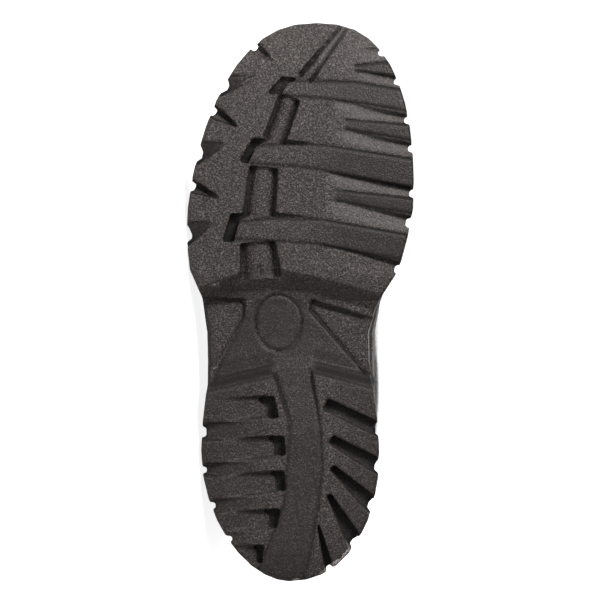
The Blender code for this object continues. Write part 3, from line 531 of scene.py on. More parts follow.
def grain_at(points):
    x, y, z = points.T
    rise = z - tread_height(x)
    # The ramps get the highest etching number, which also gives them the painted sheen.
    ramps = np.maximum(soft_step(rise, 0.1, 1.2) * (y > 10), 0.5 * soft_step(y, 12.0, 45.0))
    ramps = ramps * soft_step(x, 168.0, 184.0)
    plateau = ETCHED["plateau"]
    grain = np.where(x > FOREFOOT_X, plateau + (1.0 - plateau) * ramps, ETCHED["else"])
    grain = grain + (ETCHED["toe"] - plateau) * soft_step(x, 258.0, 272.0)
    for front, back in BARS_AND_FINGERS:
        inside = (y > front[0][1]) & (y < front[-1][1])
        inside &= (x < along(front, y) + 0.2) & (x > along(back, y) - 0.2)
        fading = (ETCHED["bar"] - ETCHED["bar's inner end"]) * soft_step(y, -5.0, 25.0)
        grain = np.where(inside, ETCHED["bar"] - fading, grain)
    waist = (x < along(WAIST_FRONT, y) - 1.0) & (x > along(WAIST_BACK, y) + 1.0)
    panels = (y < 0.483 * (x - 137.3) - 29.6) | (y > 0.85 * (141.4 - x) + 5.9)
    grain = np.where(waist, ETCHED["waist"], grain)
    grain = np.where(waist & (x > WALL_X), ETCHED["waist's front wall"], grain)
    grain = np.where(waist & panels & (x < PANEL_X), ETCHED["panel"], grain)
    outside = np.maximum(beside(HEEL_STRIP[0], x) - y, y - beside(HEEL_STRIP[1], x))
    more = (ETCHED["beside the strip"] - ETCHED["heel"]) * bell(outside, 0.0, 13.0)
    grain = np.where(x < along(WAIST_BACK, y), ETCHED["heel"] + more, grain)
    grain = np.where((outside < 0.0) & (x < STRIP_END_X), ETCHED["strip"], grain)
    # The recesses on the outer side of the forefoot get little etching: they are smoother, and their colour
    # is darker as painted shade.
    recess = soft_step(rise, 0.25, 0.8) * soft_step(-y, 30.0, 33.0) * (x > 160)
    side = soft_step(rise, 9.5, 11.5)
    return (grain * (1.0 - recess) + ETCHED["recess"] * recess) * (1.0 - side) + ETCHED["side"] * side


# %% [markdown]
# To find where shade is painted, the underside is read as a map of depths: at each small square,
# how far up the lowest rubber lies. The map is blurred, and wherever the rubber lies deeper than
# the blurred map it is in a hollow, and its colour is darkened there as painted shade. The same
# map says how much of what is around a place is empty, and so how near the outline it is. Pale
# patches are put in the colour there on the inner side and the back of the heel, and a few more
# on the corners beside the waist.

# %% Find the painted shade and the pale patches
MAP_STEP, MAP_SHAPE = 0.8, (400, 200)
MAP_START_X, MAP_START_Y = -12.0, -80.0
BLUR, BLUR_SQUARES = 4.2, 12
UNDERSIDE = 13.0           # rubber higher above the tread than this belongs to the side wall
SIDE_SHADE = 0.25


def blurred(chart):
    weights = bell(np.arange(-BLUR_SQUARES, BLUR_SQUARES + 1) * MAP_STEP, 0.0, BLUR)
    weights /= weights.sum()
    for axis in (0, 1):
        chart = np.apply_along_axis(lambda line: np.convolve(line, weights, "same"), axis, chart)
    return chart


def depth_map(points):
    """The depth around each point, and the share of what is around it that is empty."""
    x, y, z = points.T
    columns, rows = (np.clip(((value - start) / MAP_STEP).astype(int), 0, size - 1)
                     for value, start, size in zip((x, y), (MAP_START_X, MAP_START_Y), MAP_SHAPE))
    lowest = np.full(MAP_SHAPE, np.inf)
    np.minimum.at(lowest, (columns, rows), z - tread_height(x))
    empty = lowest > 30.0
    lowest[empty] = 0.0
    return blurred(lowest)[columns, rows], blurred(empty.astype(float))[columns, rows]


# Painted shade: how much each point's colour is darkened. It is darker in grooves and corners, a fixed amount
# on the side wall, less on the waist's front wall, darker towards the back of the heel, along the thin lines
# between the forms and at the foot of the heel's front wall.
def painted_shade_at(points):
    x, y, z = points.T
    deeper = z - tread_height(x) - depth_map(points)[0]
    fully = np.where(x < 110.0, 2.4, 3.4)
    painted_shade = np.where(z - tread_height(x) < UNDERSIDE, soft_step(deeper, 0.3, fully), SIDE_SHADE)
    painted_shade = painted_shade * (1.0 - 0.85 * bell(x, 152.0, 10.0))
    painted_shade = np.maximum(painted_shade, 0.40 * soft_step(-x, -24.0, -6.0) * (z < UNDERSIDE))
    return np.maximum(painted_shade, np.maximum(0.75 * edge_lines(points), 0.9 * heel_trough(points)))


# Pale patches in the colour near the outline: at the inner back of the heel, at the very back, and on the
# corners beside the waist.
def pale_patch_at(points):
    x, y, z = points.T
    outer_edge = soft_step(depth_map(points)[1], 0.10, 0.30) * (z < 9.0)
    heel = bell(x, 12.0, 16.0) * bell(y, 19.0, 14.0)
    back = bell(x, 2.0, 7.0) * bell(y, -3.0, 5.0)
    lug_edge = bell(x, 155.0, 6.0) * (np.abs(y) > 42) * (z > 0.3) * (z < 6.0)
    return (0.80 * heel + 0.65 * back) * outer_edge + 0.45 * lug_edge


# %% [markdown]
# ## The sole itself
#
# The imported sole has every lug, groove and rib, but its edges are knife sharp. Rubber never is:
# it leaves the mould with small rounds on all edges. A voxel remesh rebuilds the form from tiny
# even faces, and a light smoothing rounds what was sharp. The result is cut in two at the waist,
# because a piece is easiest to handle below two hundred thousand triangles.

# %% Remesh and round the sole
VOXEL = 0.7

sole = upright_copy("outsole", "sole")
shape_with(sole, "REMESH", mode="VOXEL", voxel_size=VOXEL * MM, adaptivity=0.0)
shape_with(sole, "SMOOTH", factor=0.5, iterations=2)
print("remeshed sole:", triangles(sole), "triangles")


# %% [markdown]
# A few shallow forms are pressed into the fine mesh by moving its points along z: a plain oval
# pad in the waist, a thin mould step across the last inner lug, a small pit at the end of the
# channel, the thin lines between the forms, and the steep front wall of the heel's lugs.

# %% Press the shallow forms
PAD_CENTRE, PAD_HALF = (134.5, -11.0), (14.5, 12.0)
PAD_GROOVE, PAD_GROOVE_HALF, PAD_SUNK = 1.3, 0.75, 0.35
MOULD_STEP, STEP_DEPTH, STEP_HALF = [(167.0, 4.0), (159.4, 45.0)], 0.35, 0.55
PIT, PIT_HALF, PIT_DEPTH = (162.6, -21.0), (2.6, 1.1), 1.6
LINE_DEPTH = 0.75
WALL_TOP, WALL_RUN, WALL_REACH, WALL_CARVE = 7.4, 6.5, 11.0, 3.5


def press(thing):
    points = points_of(thing)
    x, y, z = points.T
    reach = np.hypot((x - PAD_CENTRE[0]) / PAD_HALF[0], (y - PAD_CENTRE[1]) / PAD_HALF[1])
    away = (reach - 1.0) * 0.5 * sum(PAD_HALF)
    pad = PAD_GROOVE * bell(away, 0.0, PAD_GROOVE_HALF) + PAD_SUNK * (1.0 - soft_step(away, -1.2, 0.0))
    on_lug = (y > 14) & (y < 50) & (z < 3.0) & (x > 150)
    step = STEP_DEPTH * bell(x, along(MOULD_STEP, y), STEP_HALF)
    pit = PIT_DEPTH * np.exp(-((x - PIT[0]) / PIT_HALF[0]) ** 4 - ((y - PIT[1]) / PIT_HALF[1]) ** 4)
    ahead, walled = heel_front(points)
    steeper = WALL_TOP * soft_step(ahead, 0.0, WALL_RUN) - np.clip(z, 0.0, WALL_TOP)
    wall = walled * np.where((ahead > 0.0) & (ahead < WALL_REACH), np.clip(steeper, 0.0, WALL_CARVE), 0.0)
    lift = np.where(z < 16.0, pad, 0.0) + np.where(on_lug, step, 0.0) + pit + wall
    lift = lift + LINE_DEPTH * edge_lines(points)
    underneath = normals_of(thing)[:, 2] < -0.35
    points[:, 2] += np.where(underneath, lift, 0.0)
    move_points(thing, points)


press(sole)

# %% Mark the rubber and cut the sole in two
CUT_X = 152.0

for label, values in (("grain", grain_at), ("painted_shade", painted_shade_at), ("pale_patch", pale_patch_at)):
    marks = sole.data.attributes.new(label, "FLOAT", "POINT")
    marks.data.foreach_set("value", values(points_of(sole)))

for name, keep_front in (("sole_forefoot", True), ("sole_heel", False)):
    half = new_object(name, sole.data.copy())
    edit_all(half)
    bpy.ops.mesh.bisect(plane_co=(CUT_X * MM, 0, 0), plane_no=(1, 0, 0), use_fill=True,
                        clear_inner=keep_front, clear_outer=not keep_front)
    bpy.ops.object.mode_set(mode="OBJECT")
    finish(half, RUBBER, "rubber", ["outsole"], sharp=60.0)
bpy.data.objects.remove(sole)

# %% [markdown]
# ## The shape of the upper
#
# A shoemaker pulls leather over a last, a solid form of a foot. The tables below are that last:
# where the rim of the sole runs, how thick the sole is, how far the boot reaches forward and back
# at each height, how full its sides are, and where its ridge runs.

# %% The last's tables
RIM_SETBACK, RIM_INSET = 2.3, 3.2    # of the upper's foot, from the sole's ends and from its rim
HEEL_APEX_Y, TOE_APEX_Y = -6.0, 8.8
# x, outer y, inner y
RIM = [(66, -48.9, 39.3), (85, -48.9, 39.5), (100, -48.8, 39.3), (112, -48.6, 39.2),
       (128, -48.9, 39.5), (142, -50.4, 41.5), (152, -52.4, 44.4), (166, -55.2, 49.8),
       (182, -56.6, 53.8), (200, -56.6, 56.8)]
# x where the rounding of an end starts, and its two exponents
HEEL_END = {"outer": (66.0, 1.8, 1.8), "inner": (66.0, 2.05, 2.2)}
TOE_END = {"outer": (185.0, 1.6, 2.4), "inner": (200.0, 2.5, 2.5)}
# x, thickness of the sole
BED = [(0, 28.0), (80, 27.0), (120, 23.5), (160, 18.4), (200, 16.0), (292, 15.4)]
# height, x
FRONT = [(0, 286.4), (5, 286.4), (12, 285.2), (19, 281.6), (25, 275.0), (29.5, 264.0), (33.5, 248.0),
         (38, 228.0), (44, 207.0), (52, 186.0), (62, 166.0), (74, 146.0), (88, 126.0), (100, 111.0),
         (112, 99.0), (124, 90.0), (160, 72.0), (240, 50.0), (500, 20.0)]
BACK = [(0, 5.6), (5, 5.6), (14, 3.2), (28, 2.2), (45, 4.2), (65, 8.2), (85, 11.0), (100, 11.6),
        (112, 10.6), (130, 10.0)]
# height, fullness of the sides
GIRTH = [(0, 1.0), (26, 1.0), (46, 0.93), (68, 0.86), (88, 0.86), (103, 0.91), (112, 0.89), (130, 0.88)]
# x, y of the ridge, roundness over it
RIDGE = [(0, -5.4, 2.2), (60, -4.6, 2.2), (110, -3.6, 1.9), (160, -1.4, 1.9), (210, 3.0, 2.1),
         (250, 7.0, 2.5), (287, 8.8, 2.6)]
COLLAR_HEIGHT, COLLAR_DIP, VAMP_HEIGHT = 112.0, 12.0, 62.0
THROAT = 25 / 28           # share of the way from heel to toe at which the facings end
THROAT_LOW, THROAT_TOP = 7.0, 11.0   # half its width at the vamp and at the collar
SIDE_SWELL, WAIST_SWELL = 2.0, 4.8   # how far the sides swell past the rim, and more at the waist
WAIST_X, WAIST_HALF = 104.0, 40.0
SWELL_FROM, SWELL_TO, SWELL_END = 5.0, 17.0, 20.0    # heights; it fades this near the ridge


# %% The bed and the rim
def bed_height(x):
    return tread_height(x) + curve(BED, x)


def rim_y(x, side):
    """Y of the upper's foot, inside the sole's rim, at x."""
    sign, column = (-1.0, 1) if side == "outer" else (1.0, 2)
    back = RIM_INSET + RIM_SETBACK
    front = SOLE_LENGTH - back
    y = wide = curve(RIM, x, column) - sign * RIM_INSET
    for apex, end, (start, along_end, across_end) in (
            (HEEL_APEX_Y, back, HEEL_END[side]), (TOE_APEX_Y, front, TOE_END[side])):
        reach = np.clip((x - start) / (end - start), 0.0, 1.0)
        rounded = apex + (wide - apex) * (1.0 - reach ** along_end) ** (1.0 / across_end)
        y = np.where((x - start) * (end - start) > 0.0, rounded, y)
    return y


# %% The leather's outer surface
HEIGHT_LADDER = np.linspace(0.0, 500.0, 5001)
RIDGE_LADDER = curve(FRONT, HEIGHT_LADDER)
HEEL_START = HEEL_END["outer"][0]


def side_y(x, height, side):
    """Y of the upper at x and at a height above the bed."""
    sign = -1.0 if side == "outer" else 1.0
    stretch = (HEEL_START - BACK[0][1]) / (HEEL_START - curve(BACK, height))
    edge = rim_y(np.where(x < HEEL_START, HEEL_START - (HEEL_START - x) * stretch, x), side)
    ridge = curve(RIDGE, x)
    swell = SIDE_SWELL + (WAIST_SWELL * bell(x, WAIST_X, WAIST_HALF) if side == "inner" else 0.0)
    swell = swell * soft_step(height, SWELL_FROM, SWELL_TO)
    swell = swell * np.minimum(1.0, np.abs(edge - ridge) / SWELL_END)
    full = (edge + sign * swell - ridge) * curve(GIRTH, height)
    top = np.interp(x, RIDGE_LADDER[::-1], HEIGHT_LADDER[::-1])
    share = np.minimum(1.0, height / np.maximum(top, 0.01))
    return ridge + full * np.sqrt(np.clip(1.0 - share ** curve(RIDGE, x, 2), 0.0, None))


def find_throat(side):
    """For a ladder of heights, the x at which the surface is the throat's half width aside."""
    heights = np.linspace(0.0, 126.0, 253)
    half = THROAT_LOW + (THROAT_TOP - THROAT_LOW) * soft_step(heights, VAMP_HEIGHT, COLLAR_HEIGHT)
    high = curve(FRONT, heights)
    low = high - 45.0
    for _ in range(30):
        middle = 0.5 * (low + high)
        wide = np.abs(side_y(middle, heights, side) - curve(RIDGE, middle)) > half
        low = np.where(wide, middle, low)
        high = np.where(wide, high, middle)
    return heights, 0.5 * (low + high)


SIDES = {"outer": -1.0, "inner": 1.0}
THROAT_TAKES_OVER = 8.0, 30.0          # heights between which the throat starts to place the leather
THROAT_X = {side: find_throat(side) for side in SIDES}


def surface(t, height, side):
    """A point of the outer surface: t runs from 0 at the heel to 1 at the toe."""
    back, front = curve(BACK, height), curve(FRONT, height)
    throat_share = 0.5 - 0.5 * math.cos(math.pi * THROAT)
    wanted = (np.interp(height, *THROAT_X[side]) - back) / (front - back)
    edge = throat_share + (wanted - throat_share) * soft_step(height, *THROAT_TAKES_OVER)
    share = 0.5 - 0.5 * np.cos(math.pi * t)
    near = share * edge / throat_share
    far = edge + (1.0 - edge) * (share - throat_share) / (1.0 - throat_share)
    x = back + (front - back) * np.where(t <= THROAT, near, far)
    y = np.where((t <= 0.0) | (t >= 1.0), curve(RIDGE, x), side_y(x, height, side))
    dip = COLLAR_DIP * (1.0 - np.minimum(1.0, x / curve(FRONT, COLLAR_HEIGHT)))
    z = bed_height(x) + height - dip * (height / COLLAR_HEIGHT) ** 3
    return np.stack([x, y, z], axis=-1)


# %% [markdown]
# A place on the leather is a pair of numbers: its height, and q, which is below 0 on the outer
# side and above 0 on the inner one. Sheets that run round the heel count q from there, and those
# that wrap the toe count it from the toe, so that no seam opens in the middle of a sheet.

# %% Places on the leather
def skin(q, height, through):
    t = np.abs(q) if through == "heel" else 1.0 - np.abs(q)
    return np.where((q < 0.0)[..., None], surface(t, height, "outer"), surface(t, height, "inner"))


def skin_and_normal(q, height, through):
    """Points, and the directions that point out of the leather there."""
    q, height = np.broadcast_arrays(np.asarray(q, float), np.asarray(height, float))
    ahead = skin(q + 0.006, height, through) - skin(q - 0.006, height, through)
    up = skin(q, height + 0.8, through) - skin(q, np.maximum(height - 0.8, 0.0), through)
    out = np.cross(up, ahead) if through == "heel" else np.cross(ahead, up)
    return skin(q, height, through), unit(out)


print("the throat starts at x", round(float(np.interp(VAMP_HEIGHT, *THROAT_X["inner"])), 1))


# %% [markdown]
# ## Leather
#
# Polished work leather is black and smooth with a fine grain, and it has a thin hard shine on
# top. The lining, the footbed and the thread are woven.

# %% The leather and cloth materials
def make_leather(name, tone, rough, depth):
    material, tree, shader, spot = new_material(name)
    grain = effect(tree, GRAIN, spot)
    light = tuple(value * 1.9 for value in tone)
    connect(tree, shader, {"Base Color": mix(tree, ramp(tree, grain["Tone"], 0.3, 0.7), tone, light),
                           "Roughness": plus(tree, rough, times(tree, grain["Tone"], 0.14)),
                           "Normal": bump(tree, grain["Height"], depth, 0.6),
                           "Coat Weight": 0.35, "Coat Roughness": 0.16})
    return material


def weave_into(tree, shader, spot, across, along_it, dark, light, depth, strength):
    """Colours a shader by a weave and raises the threads."""
    weave = effect(tree, WEAVE, spot, Across=across, Along=along_it)
    connect(tree, shader, {"Base Color": mix(tree, weave["Tone"], dark, light),
                           "Normal": bump(tree, weave["Height"], depth, strength)})


def make_cloth(name, tone, threads, sheen=0.25):
    material, tree, shader, spot = new_material(name)
    light = tuple(value * 2.2 for value in tone)
    weave_into(tree, shader, spot, threads, threads, tone, light, 0.0003, 0.8)
    connect(tree, shader, {"Roughness": 0.85, "Sheen Weight": sheen})
    return material


LEATHER = make_leather("polished leather", (0.0085, 0.0080, 0.0080), 0.24, 0.00010)
SOFT_LEATHER = make_leather("soft collar leather", (0.011, 0.0105, 0.0105), 0.36, 0.00016)
LINING = make_cloth("knit lining", (0.020, 0.020, 0.022), 420.0)
FOOTBED = make_cloth("footbed cloth", (0.030, 0.030, 0.033), 300.0)
THREAD = make_cloth("waxed thread", (0.016, 0.016, 0.017), 900.0, sheen=0.1)


# %% [markdown]
# ## Panels of leather
#
# Each panel is a sheet laid on the last. A grid of points is placed by its two directions, along
# the boot and up it, and lifted off the surface where the panel lies on another one. Solidify
# then gives the sheet its thickness inward, and a bevel rounds the cut edge.

# %% Lay a sheet of leather on the last
def laid_sheet(name, q, height, lift, through, thick, edge=0.3):
    points, out = skin_and_normal(q, height, through)
    points = points + out * np.asarray(lift)[..., None]
    rows, columns = points.shape[:2]
    faces = []
    for r in range(rows - 1):
        for c in range(columns - 1):
            here = r * columns + c
            face = (here, here + columns, here + columns + 1, here + 1)
            faces.append(face if through == "heel" else face[::-1])
    sheet = new_mesh(name, points.reshape(-1, 3), faces)
    shape_with(sheet, "SOLIDIFY", thickness=thick * MM, offset=-1.0)
    if edge:
        shape_with(sheet, "BEVEL", width=edge * MM, segments=2, limit_method="ANGLE",
                   angle_limit=math.radians(55))
    return sheet


# %% [markdown]
# The vamp is the plain front of the boot. It wraps the toe from one side to the other and slips
# under the quarters. The foot bends at the ball, so a few soft troughs cross it there, each with
# its own place, slant, depth and width.

# %% The vamp
LEATHER_THICK = 1.5
FOOT = 0.3                 # the sheets start this far above the bed
# height, share of the way to the toe at which the quarter's front edge runs
QUARTER_FRONT = [(0, 0.489), (10, 0.500), (20, 0.515), (30, 0.553), (40, 0.632), (50, 0.735), (57, 0.805),
                 (63, 0.866), (69, THROAT), (130, THROAT)]
# x on the ridge, lean towards the heel per mm of y, depth, half width, reach to the sides
CREASES = [(203, 0.30, 0.75, 3.2, 34), (193, 0.24, 0.60, 2.8, 30), (212, 0.34, 0.50, 2.6, 26),
           (184, 0.20, 0.45, 3.0, 22), (219, 0.40, 0.32, 2.4, 20)]
VAMP_UNDER, VAMP_OVER = 0.04, 2.5    # how far it goes on under the quarters, as q, and upward


def crease_lift(points):
    x, y = points[..., 0], points[..., 1]
    aside = y - curve(RIDGE, x)
    lift = np.zeros_like(x)
    for place, lean, depth, wide, reach in CREASES:
        off = x - place + lean * np.abs(aside) + 1.6 * np.sin(aside * 0.16 + place)
        fold = 0.45 * bell(off, 2.1 * wide, wide) - bell(off, 0.0, wide)
        lift += depth * bell(aside, 0.0, reach) * fold
    return lift


v, u = grid(78, 171)
vamp_height = FOOT + (VAMP_HEIGHT + VAMP_OVER - FOOT) * v
vamp_q = u * (1.0 - curve(QUARTER_FRONT, vamp_height) + VAMP_UNDER)
vamp_lift = crease_lift(skin(vamp_q, vamp_height, "toe"))
vamp = laid_sheet("vamp", vamp_q, vamp_height, vamp_lift, "toe", LEATHER_THICK)

# %% [markdown]
# A quarter wraps each side from the heel to the throat, and its facing carries the eyelets. It
# lies on the vamp, so it is lifted by the vamp's thickness near its front edge only. Two rows of
# stitches will press it down close to that edge.

# %% The two quarters
QUARTER_LIFT, QUARTER_CLEAR = 0.9, 0.15    # over the vamp, and everywhere
QUARTER_START, QUARTER_TOP = 0.012, 95.0   # q beside the heel's seam, and height under the collar
SEAM_ROWS = (2.2, 4.8)                     # behind the front edge


def dense_ends(count, power):
    """Numbers from 0 to 1, closer together near 1."""
    return 1.0 - (1.0 - np.linspace(0.0, 1.0, count)) ** power


def edge_press(distance):
    """How far the leather is drawn in beside an edge that is stitched twice."""
    return -sum(0.22 * bell(distance, row, 0.7) for row in SEAM_ROWS) - 0.25 * bell(distance, 0.0, 0.8)


def lay_quarter(side, sign):
    v, u = dense_ends(84, 1.25)[:, None], dense_ends(96, 1.7)[None, :]
    top = QUARTER_TOP + (COLLAR_HEIGHT - QUARTER_TOP) * soft_step(u, 0.66, 0.84)
    height = FOOT + (top - FOOT) * v
    front = curve(QUARTER_FRONT, height)
    q = sign * (QUARTER_START + (front - QUARTER_START) * u)
    points = skin(q, height, "heel")
    to_edge = np.linalg.norm(points - skin(sign * front, height, "heel"), axis=-1)
    lift = QUARTER_LIFT * (1.0 - soft_step(to_edge, 14.0, 34.0)) + QUARTER_CLEAR + edge_press(to_edge)
    x, z = points[..., 0], points[..., 2]
    lift = lift + 0.35 * np.sin(z * 0.30 + x * 0.05) * bell(x, 98.0, 26.0) * bell(height, 74.0, 16.0)
    order = slice(None, None, -1) if side == "outer" else slice(None)
    return laid_sheet(f"quarter_{side}", q[:, order], height[:, order], lift[:, order], "heel", LEATHER_THICK)


quarters = {side: lay_quarter(side, sign) for side, sign in SIDES.items()}

# %% [markdown]
# A strip covers the seam where the quarters meet at the heel. Inside, a thin lining follows the
# whole boot from the bed to the collar, in two sheets: a closed one below the throat and an open
# one above it.

# %% The back strip and the lining
def strip_half(height):
    return 0.075 - 0.025 * soft_step(height, 10.0, 70.0)


v, u = grid(50, 25)
strip_height = FOOT + 95.5 * v
strip_q = u * strip_half(strip_height)
strip_edge = skin(np.sign(u + 1e-9) * strip_half(strip_height), strip_height, "heel")
strip_side = np.linalg.norm(skin(strip_q, strip_height, "heel") - strip_edge, axis=-1)
strip_lift = 1.35 - 0.2 * bell(strip_side, 2.0, 0.7) - 0.3 * bell(strip_side, 0.0, 0.8)
back_strip = laid_sheet("back_strip", strip_q, strip_height, strip_lift, "heel", 1.2)

LINING_THICK, LINING_BEHIND = 0.95, 1.42
v, u = grid(22, 97)
lining_low, lining_high = (
    laid_sheet(name, reach * u, start + rise * v, -LINING_BEHIND, "heel", LINING_THICK, edge=0)
    for name, reach, start, rise in (("lining_low", 0.9999, FOOT, 63.0),
                                     ("lining_high", THROAT - 0.004, 61.0, 50.0)))

# %% [markdown]
# The collar is a foam roll in soft leather. Its cross-section is a short table: the height above
# the bed and how far it stands off the last at each point, from the outside, over the top and
# down the inside. Towards the throat the roll thins out into the facing.

# %% The padded collar
# height, offset outwards
COLLAR_ROLL = [(91.5, 0.9), (94, 1.2), (96.5, 2.0), (100, 2.6), (104, 2.6), (108, 2.0), (110.8, 0.8),
               (112.0, -0.9), (112.2, -2.6), (111.2, -4.2), (108.5, -5.6), (104, -6.4), (98, -6.3),
               (92, -5.3), (86, -3.9), (80, -2.6), (77, -2.2)]
COLLAR_THIN = -1.1         # offset of the facing that the roll thins into

steps = np.linspace(0.0, len(COLLAR_ROLL) - 1.0, 52)
roll = np.array([np.interp(steps, range(len(COLLAR_ROLL)), column) for column in zip(*COLLAR_ROLL)])
roll[:, 1:-1] = 0.25 * roll[:, :-2] + 0.5 * roll[:, 1:-1] + 0.25 * roll[:, 2:]
collar_height, offset = roll[..., None]
collar_q = np.linspace(-(THROAT - 0.012), THROAT - 0.012, 200)[None, :]
puff = 1.0 - 0.86 * soft_step(np.abs(collar_q), 0.62, 0.80)
gathers = 0.16 * np.sin(collar_q * 160.0) * puff * bell(collar_height, 108.0, 6.0)
collar_lift = COLLAR_THIN + (offset - COLLAR_THIN) * puff + gathers
collar = laid_sheet("collar", collar_q, collar_height, collar_lift, "heel", 0.9, edge=0)

# %% [markdown]
# The tongue is a padded sheet behind the facings that shows between them and stands above the
# collar. It is thick along its middle and thin at its edges.

# %% The tongue
TONGUE_WING, TONGUE_BEHIND = 6 / 28, 2.95
TONGUE_FOOT, TONGUE_TOP, TONGUE_CORNER = 48.0, 121.5, 5.0

v, u = grid(66, 45)
tongue_height = TONGUE_FOOT + (TONGUE_TOP - TONGUE_CORNER * np.abs(u) ** 5 - TONGUE_FOOT) * v
tongue_q = u * TONGUE_WING * (1.0 - 0.10 * v ** 6)
hem = np.minimum((1.0 - np.abs(u)) * 26.0, (1.0 - v) * 74.0)
tongue_lift = -TONGUE_BEHIND - 0.9 * bell(hem, 0.0, 2.6) - 0.25 * bell(hem, 5.0, 0.9)
tongue_lift = tongue_lift + 0.18 * np.sin(tongue_height * 0.55) * bell(u, 0.0, 0.5) * (v > 0.2)
tongue = laid_sheet("tongue_pad", tongue_q, tongue_height, tongue_lift, "toe", 2.6, edge=0.8)

# %% [markdown]
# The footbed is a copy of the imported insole, remeshed, rounded, and dished a little under the
# heel and the ball, as a worn-in board is.

# %% The footbed
footbed = upright_copy("insole", "footbed")
shape_with(footbed, "REMESH", mode="VOXEL", voxel_size=1.3 * MM, adaptivity=0.0)
shape_with(footbed, "SMOOTH", factor=0.5, iterations=4)
points = points_of(footbed)
x, y, z = points.T
dish = 1.0 * bell(x, 46.0, 30.0) * bell(y, -5.0, 22.0) + 0.7 * bell(x, 200.0, 34.0) * bell(y, 2.0, 30.0)
points[:, 2] -= np.where(normals_of(footbed)[:, 2] > 0.5, dish, 0.0)
move_points(footbed, points)
print("sheets laid on the last")


# %% [markdown]
# ## Stitches
#
# A machine seam is a row of short raised threads with small gaps. One stitch is modelled as a
# slim spindle with six sides; copies of it are set along each seam, turned to follow the seam and
# to stand on the leather.

# %% One stitch, and rows of them
STITCH_LONG, STITCH_GAP, STITCH_HALF = 2.9, 0.9, 0.36
FACING_ROW, STRIP_ROW = 17.5, 2.0    # how far behind their edges
COLLAR_ROWS, COLLAR_REACH = (92.6, 90.2), np.linspace(0.06, 0.60, 160)


def run_of(path):
    """The distance covered at each point of a line."""
    return np.concatenate([[0.0], np.cumsum(np.linalg.norm(np.diff(path, axis=0), axis=1))])


def between(at, places, rows):
    """The rows of an array, read at places between its own."""
    return np.stack([np.interp(at, places, column) for column in rows.T], axis=-1)


def model_stitch():
    let_go()
    bpy.ops.mesh.primitive_uv_sphere_add(segments=6, ring_count=4, radius=1.0)
    spindle = bpy.context.object
    edit_all(spindle)
    bpy.ops.transform.rotate(value=math.pi / 2, orient_axis="Y", center_override=(0, 0, 0))
    bpy.ops.transform.resize(value=(0.5 * STITCH_LONG, STITCH_HALF, 0.7 * STITCH_HALF),
                             center_override=(0, 0, 0))
    bpy.ops.object.mode_set(mode="OBJECT")
    corners = triples(spindle.data.vertices, "co")
    faces = [tuple(face.vertices) for face in spindle.data.polygons]
    bpy.data.objects.remove(spindle)
    return corners, faces


STITCH_POINTS, STITCH_FACES = model_stitch()
stitch_points, stitch_faces = [], []


def sew(q, height, above):
    """Sets stitches along a line on the last, given by many places of it."""
    path, out = skin_and_normal(q, height, "heel")
    path = path + out * above
    run = run_of(path)
    pitch = STITCH_LONG + STITCH_GAP
    for middle in np.arange(0.6 * pitch, run[-1] - 0.5 * pitch, pitch):
        spot = between(middle, run, path)
        ahead = unit(between(middle + 1.0, run, path) - spot)
        across = unit(np.cross(between(middle, run, out), ahead))
        start = len(stitch_points) * len(STITCH_POINTS)
        stitch_points.append(STITCH_POINTS @ np.stack([ahead, across, np.cross(ahead, across)]) + spot)
        stitch_faces.extend(tuple(start + i for i in face) for face in STITCH_FACES)


def sew_beside(edge, sign, gap, heights, above, probe=0.01):
    """Sews a gap in mm behind an edge, a q for each height. The probe shows how long a q is."""
    here, within = (skin(sign * q, heights, "heel") for q in (edge, edge - probe))
    sew(sign * (edge - probe * gap / np.linalg.norm(here - within, axis=-1)), heights, above)


for sign in SIDES.values():
    heights = np.linspace(4.0, 110.5, 160)
    for gap in SEAM_ROWS:
        sew_beside(curve(QUARTER_FRONT, heights), sign, gap, heights, QUARTER_LIFT + 0.02)
    heights = np.linspace(60.0, 110.0, 80)
    sew_beside(curve(QUARTER_FRONT, heights), sign, FACING_ROW, heights, 0.55)
    heights = np.linspace(3.0, 93.0, 120)
    sew_beside(strip_half(heights), sign, STRIP_ROW, heights, 1.32, probe=0.005)
    for height in COLLAR_ROWS:
        sew(sign * COLLAR_REACH, height, 0.28)

stitches = new_mesh("stitches", np.concatenate(stitch_points), stitch_faces)
print(len(stitch_points), "stitches")

# %% [markdown]
# ## Eyelets
#
# An eyelet is a short tube that is rolled over at the top. It is drawn once: a circle is pulled
# and widened ring by ring along its profile until it closes on itself. Its eight copies go where
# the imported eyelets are, whose middle and axis are measured from their points.

# %% Model one eyelet
# radius and height of each ring
EYELET_RINGS = [(2.6, -1.9), (2.6, 0.3), (2.75, 0.75), (3.1, 1.1), (3.7, 1.28), (4.4, 1.12), (4.95, 0.75),
                (5.1, 0.4), (5.0, 0.2), (3.6, 0.2), (3.4, -1.9)]
EYELET_TOP, EYELET_RISE = 1.3, 0.35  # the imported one's rim above its seat; this one's lift over it
FOOT_MIDDLE = np.array([110.0, -3.0, 60.0])


def model_eyelet():
    radius, height = EYELET_RINGS[0]
    let_go()
    bpy.ops.mesh.primitive_circle_add(vertices=32, radius=radius * MM, fill_type="NOTHING",
                                      location=(0, 0, height * MM))
    bpy.ops.object.transform_apply(location=True, rotation=True, scale=True)
    eyelet = bpy.context.object
    edit_all(eyelet)
    for wide, high in EYELET_RINGS[1:] + EYELET_RINGS[:1]:
        bpy.ops.mesh.extrude_edges_move(TRANSFORM_OT_translate={"value": (0, 0, (high - height) * MM)})
        bpy.ops.transform.resize(value=(wide / radius, wide / radius, 1.0), center_override=(0, 0, high * MM))
        radius, height = wide, high
    bpy.ops.mesh.select_all(action="SELECT")
    bpy.ops.mesh.remove_doubles(threshold=0.01 * MM)
    bpy.ops.mesh.normals_make_consistent(inside=False)
    bpy.ops.object.mode_set(mode="OBJECT")
    return eyelet


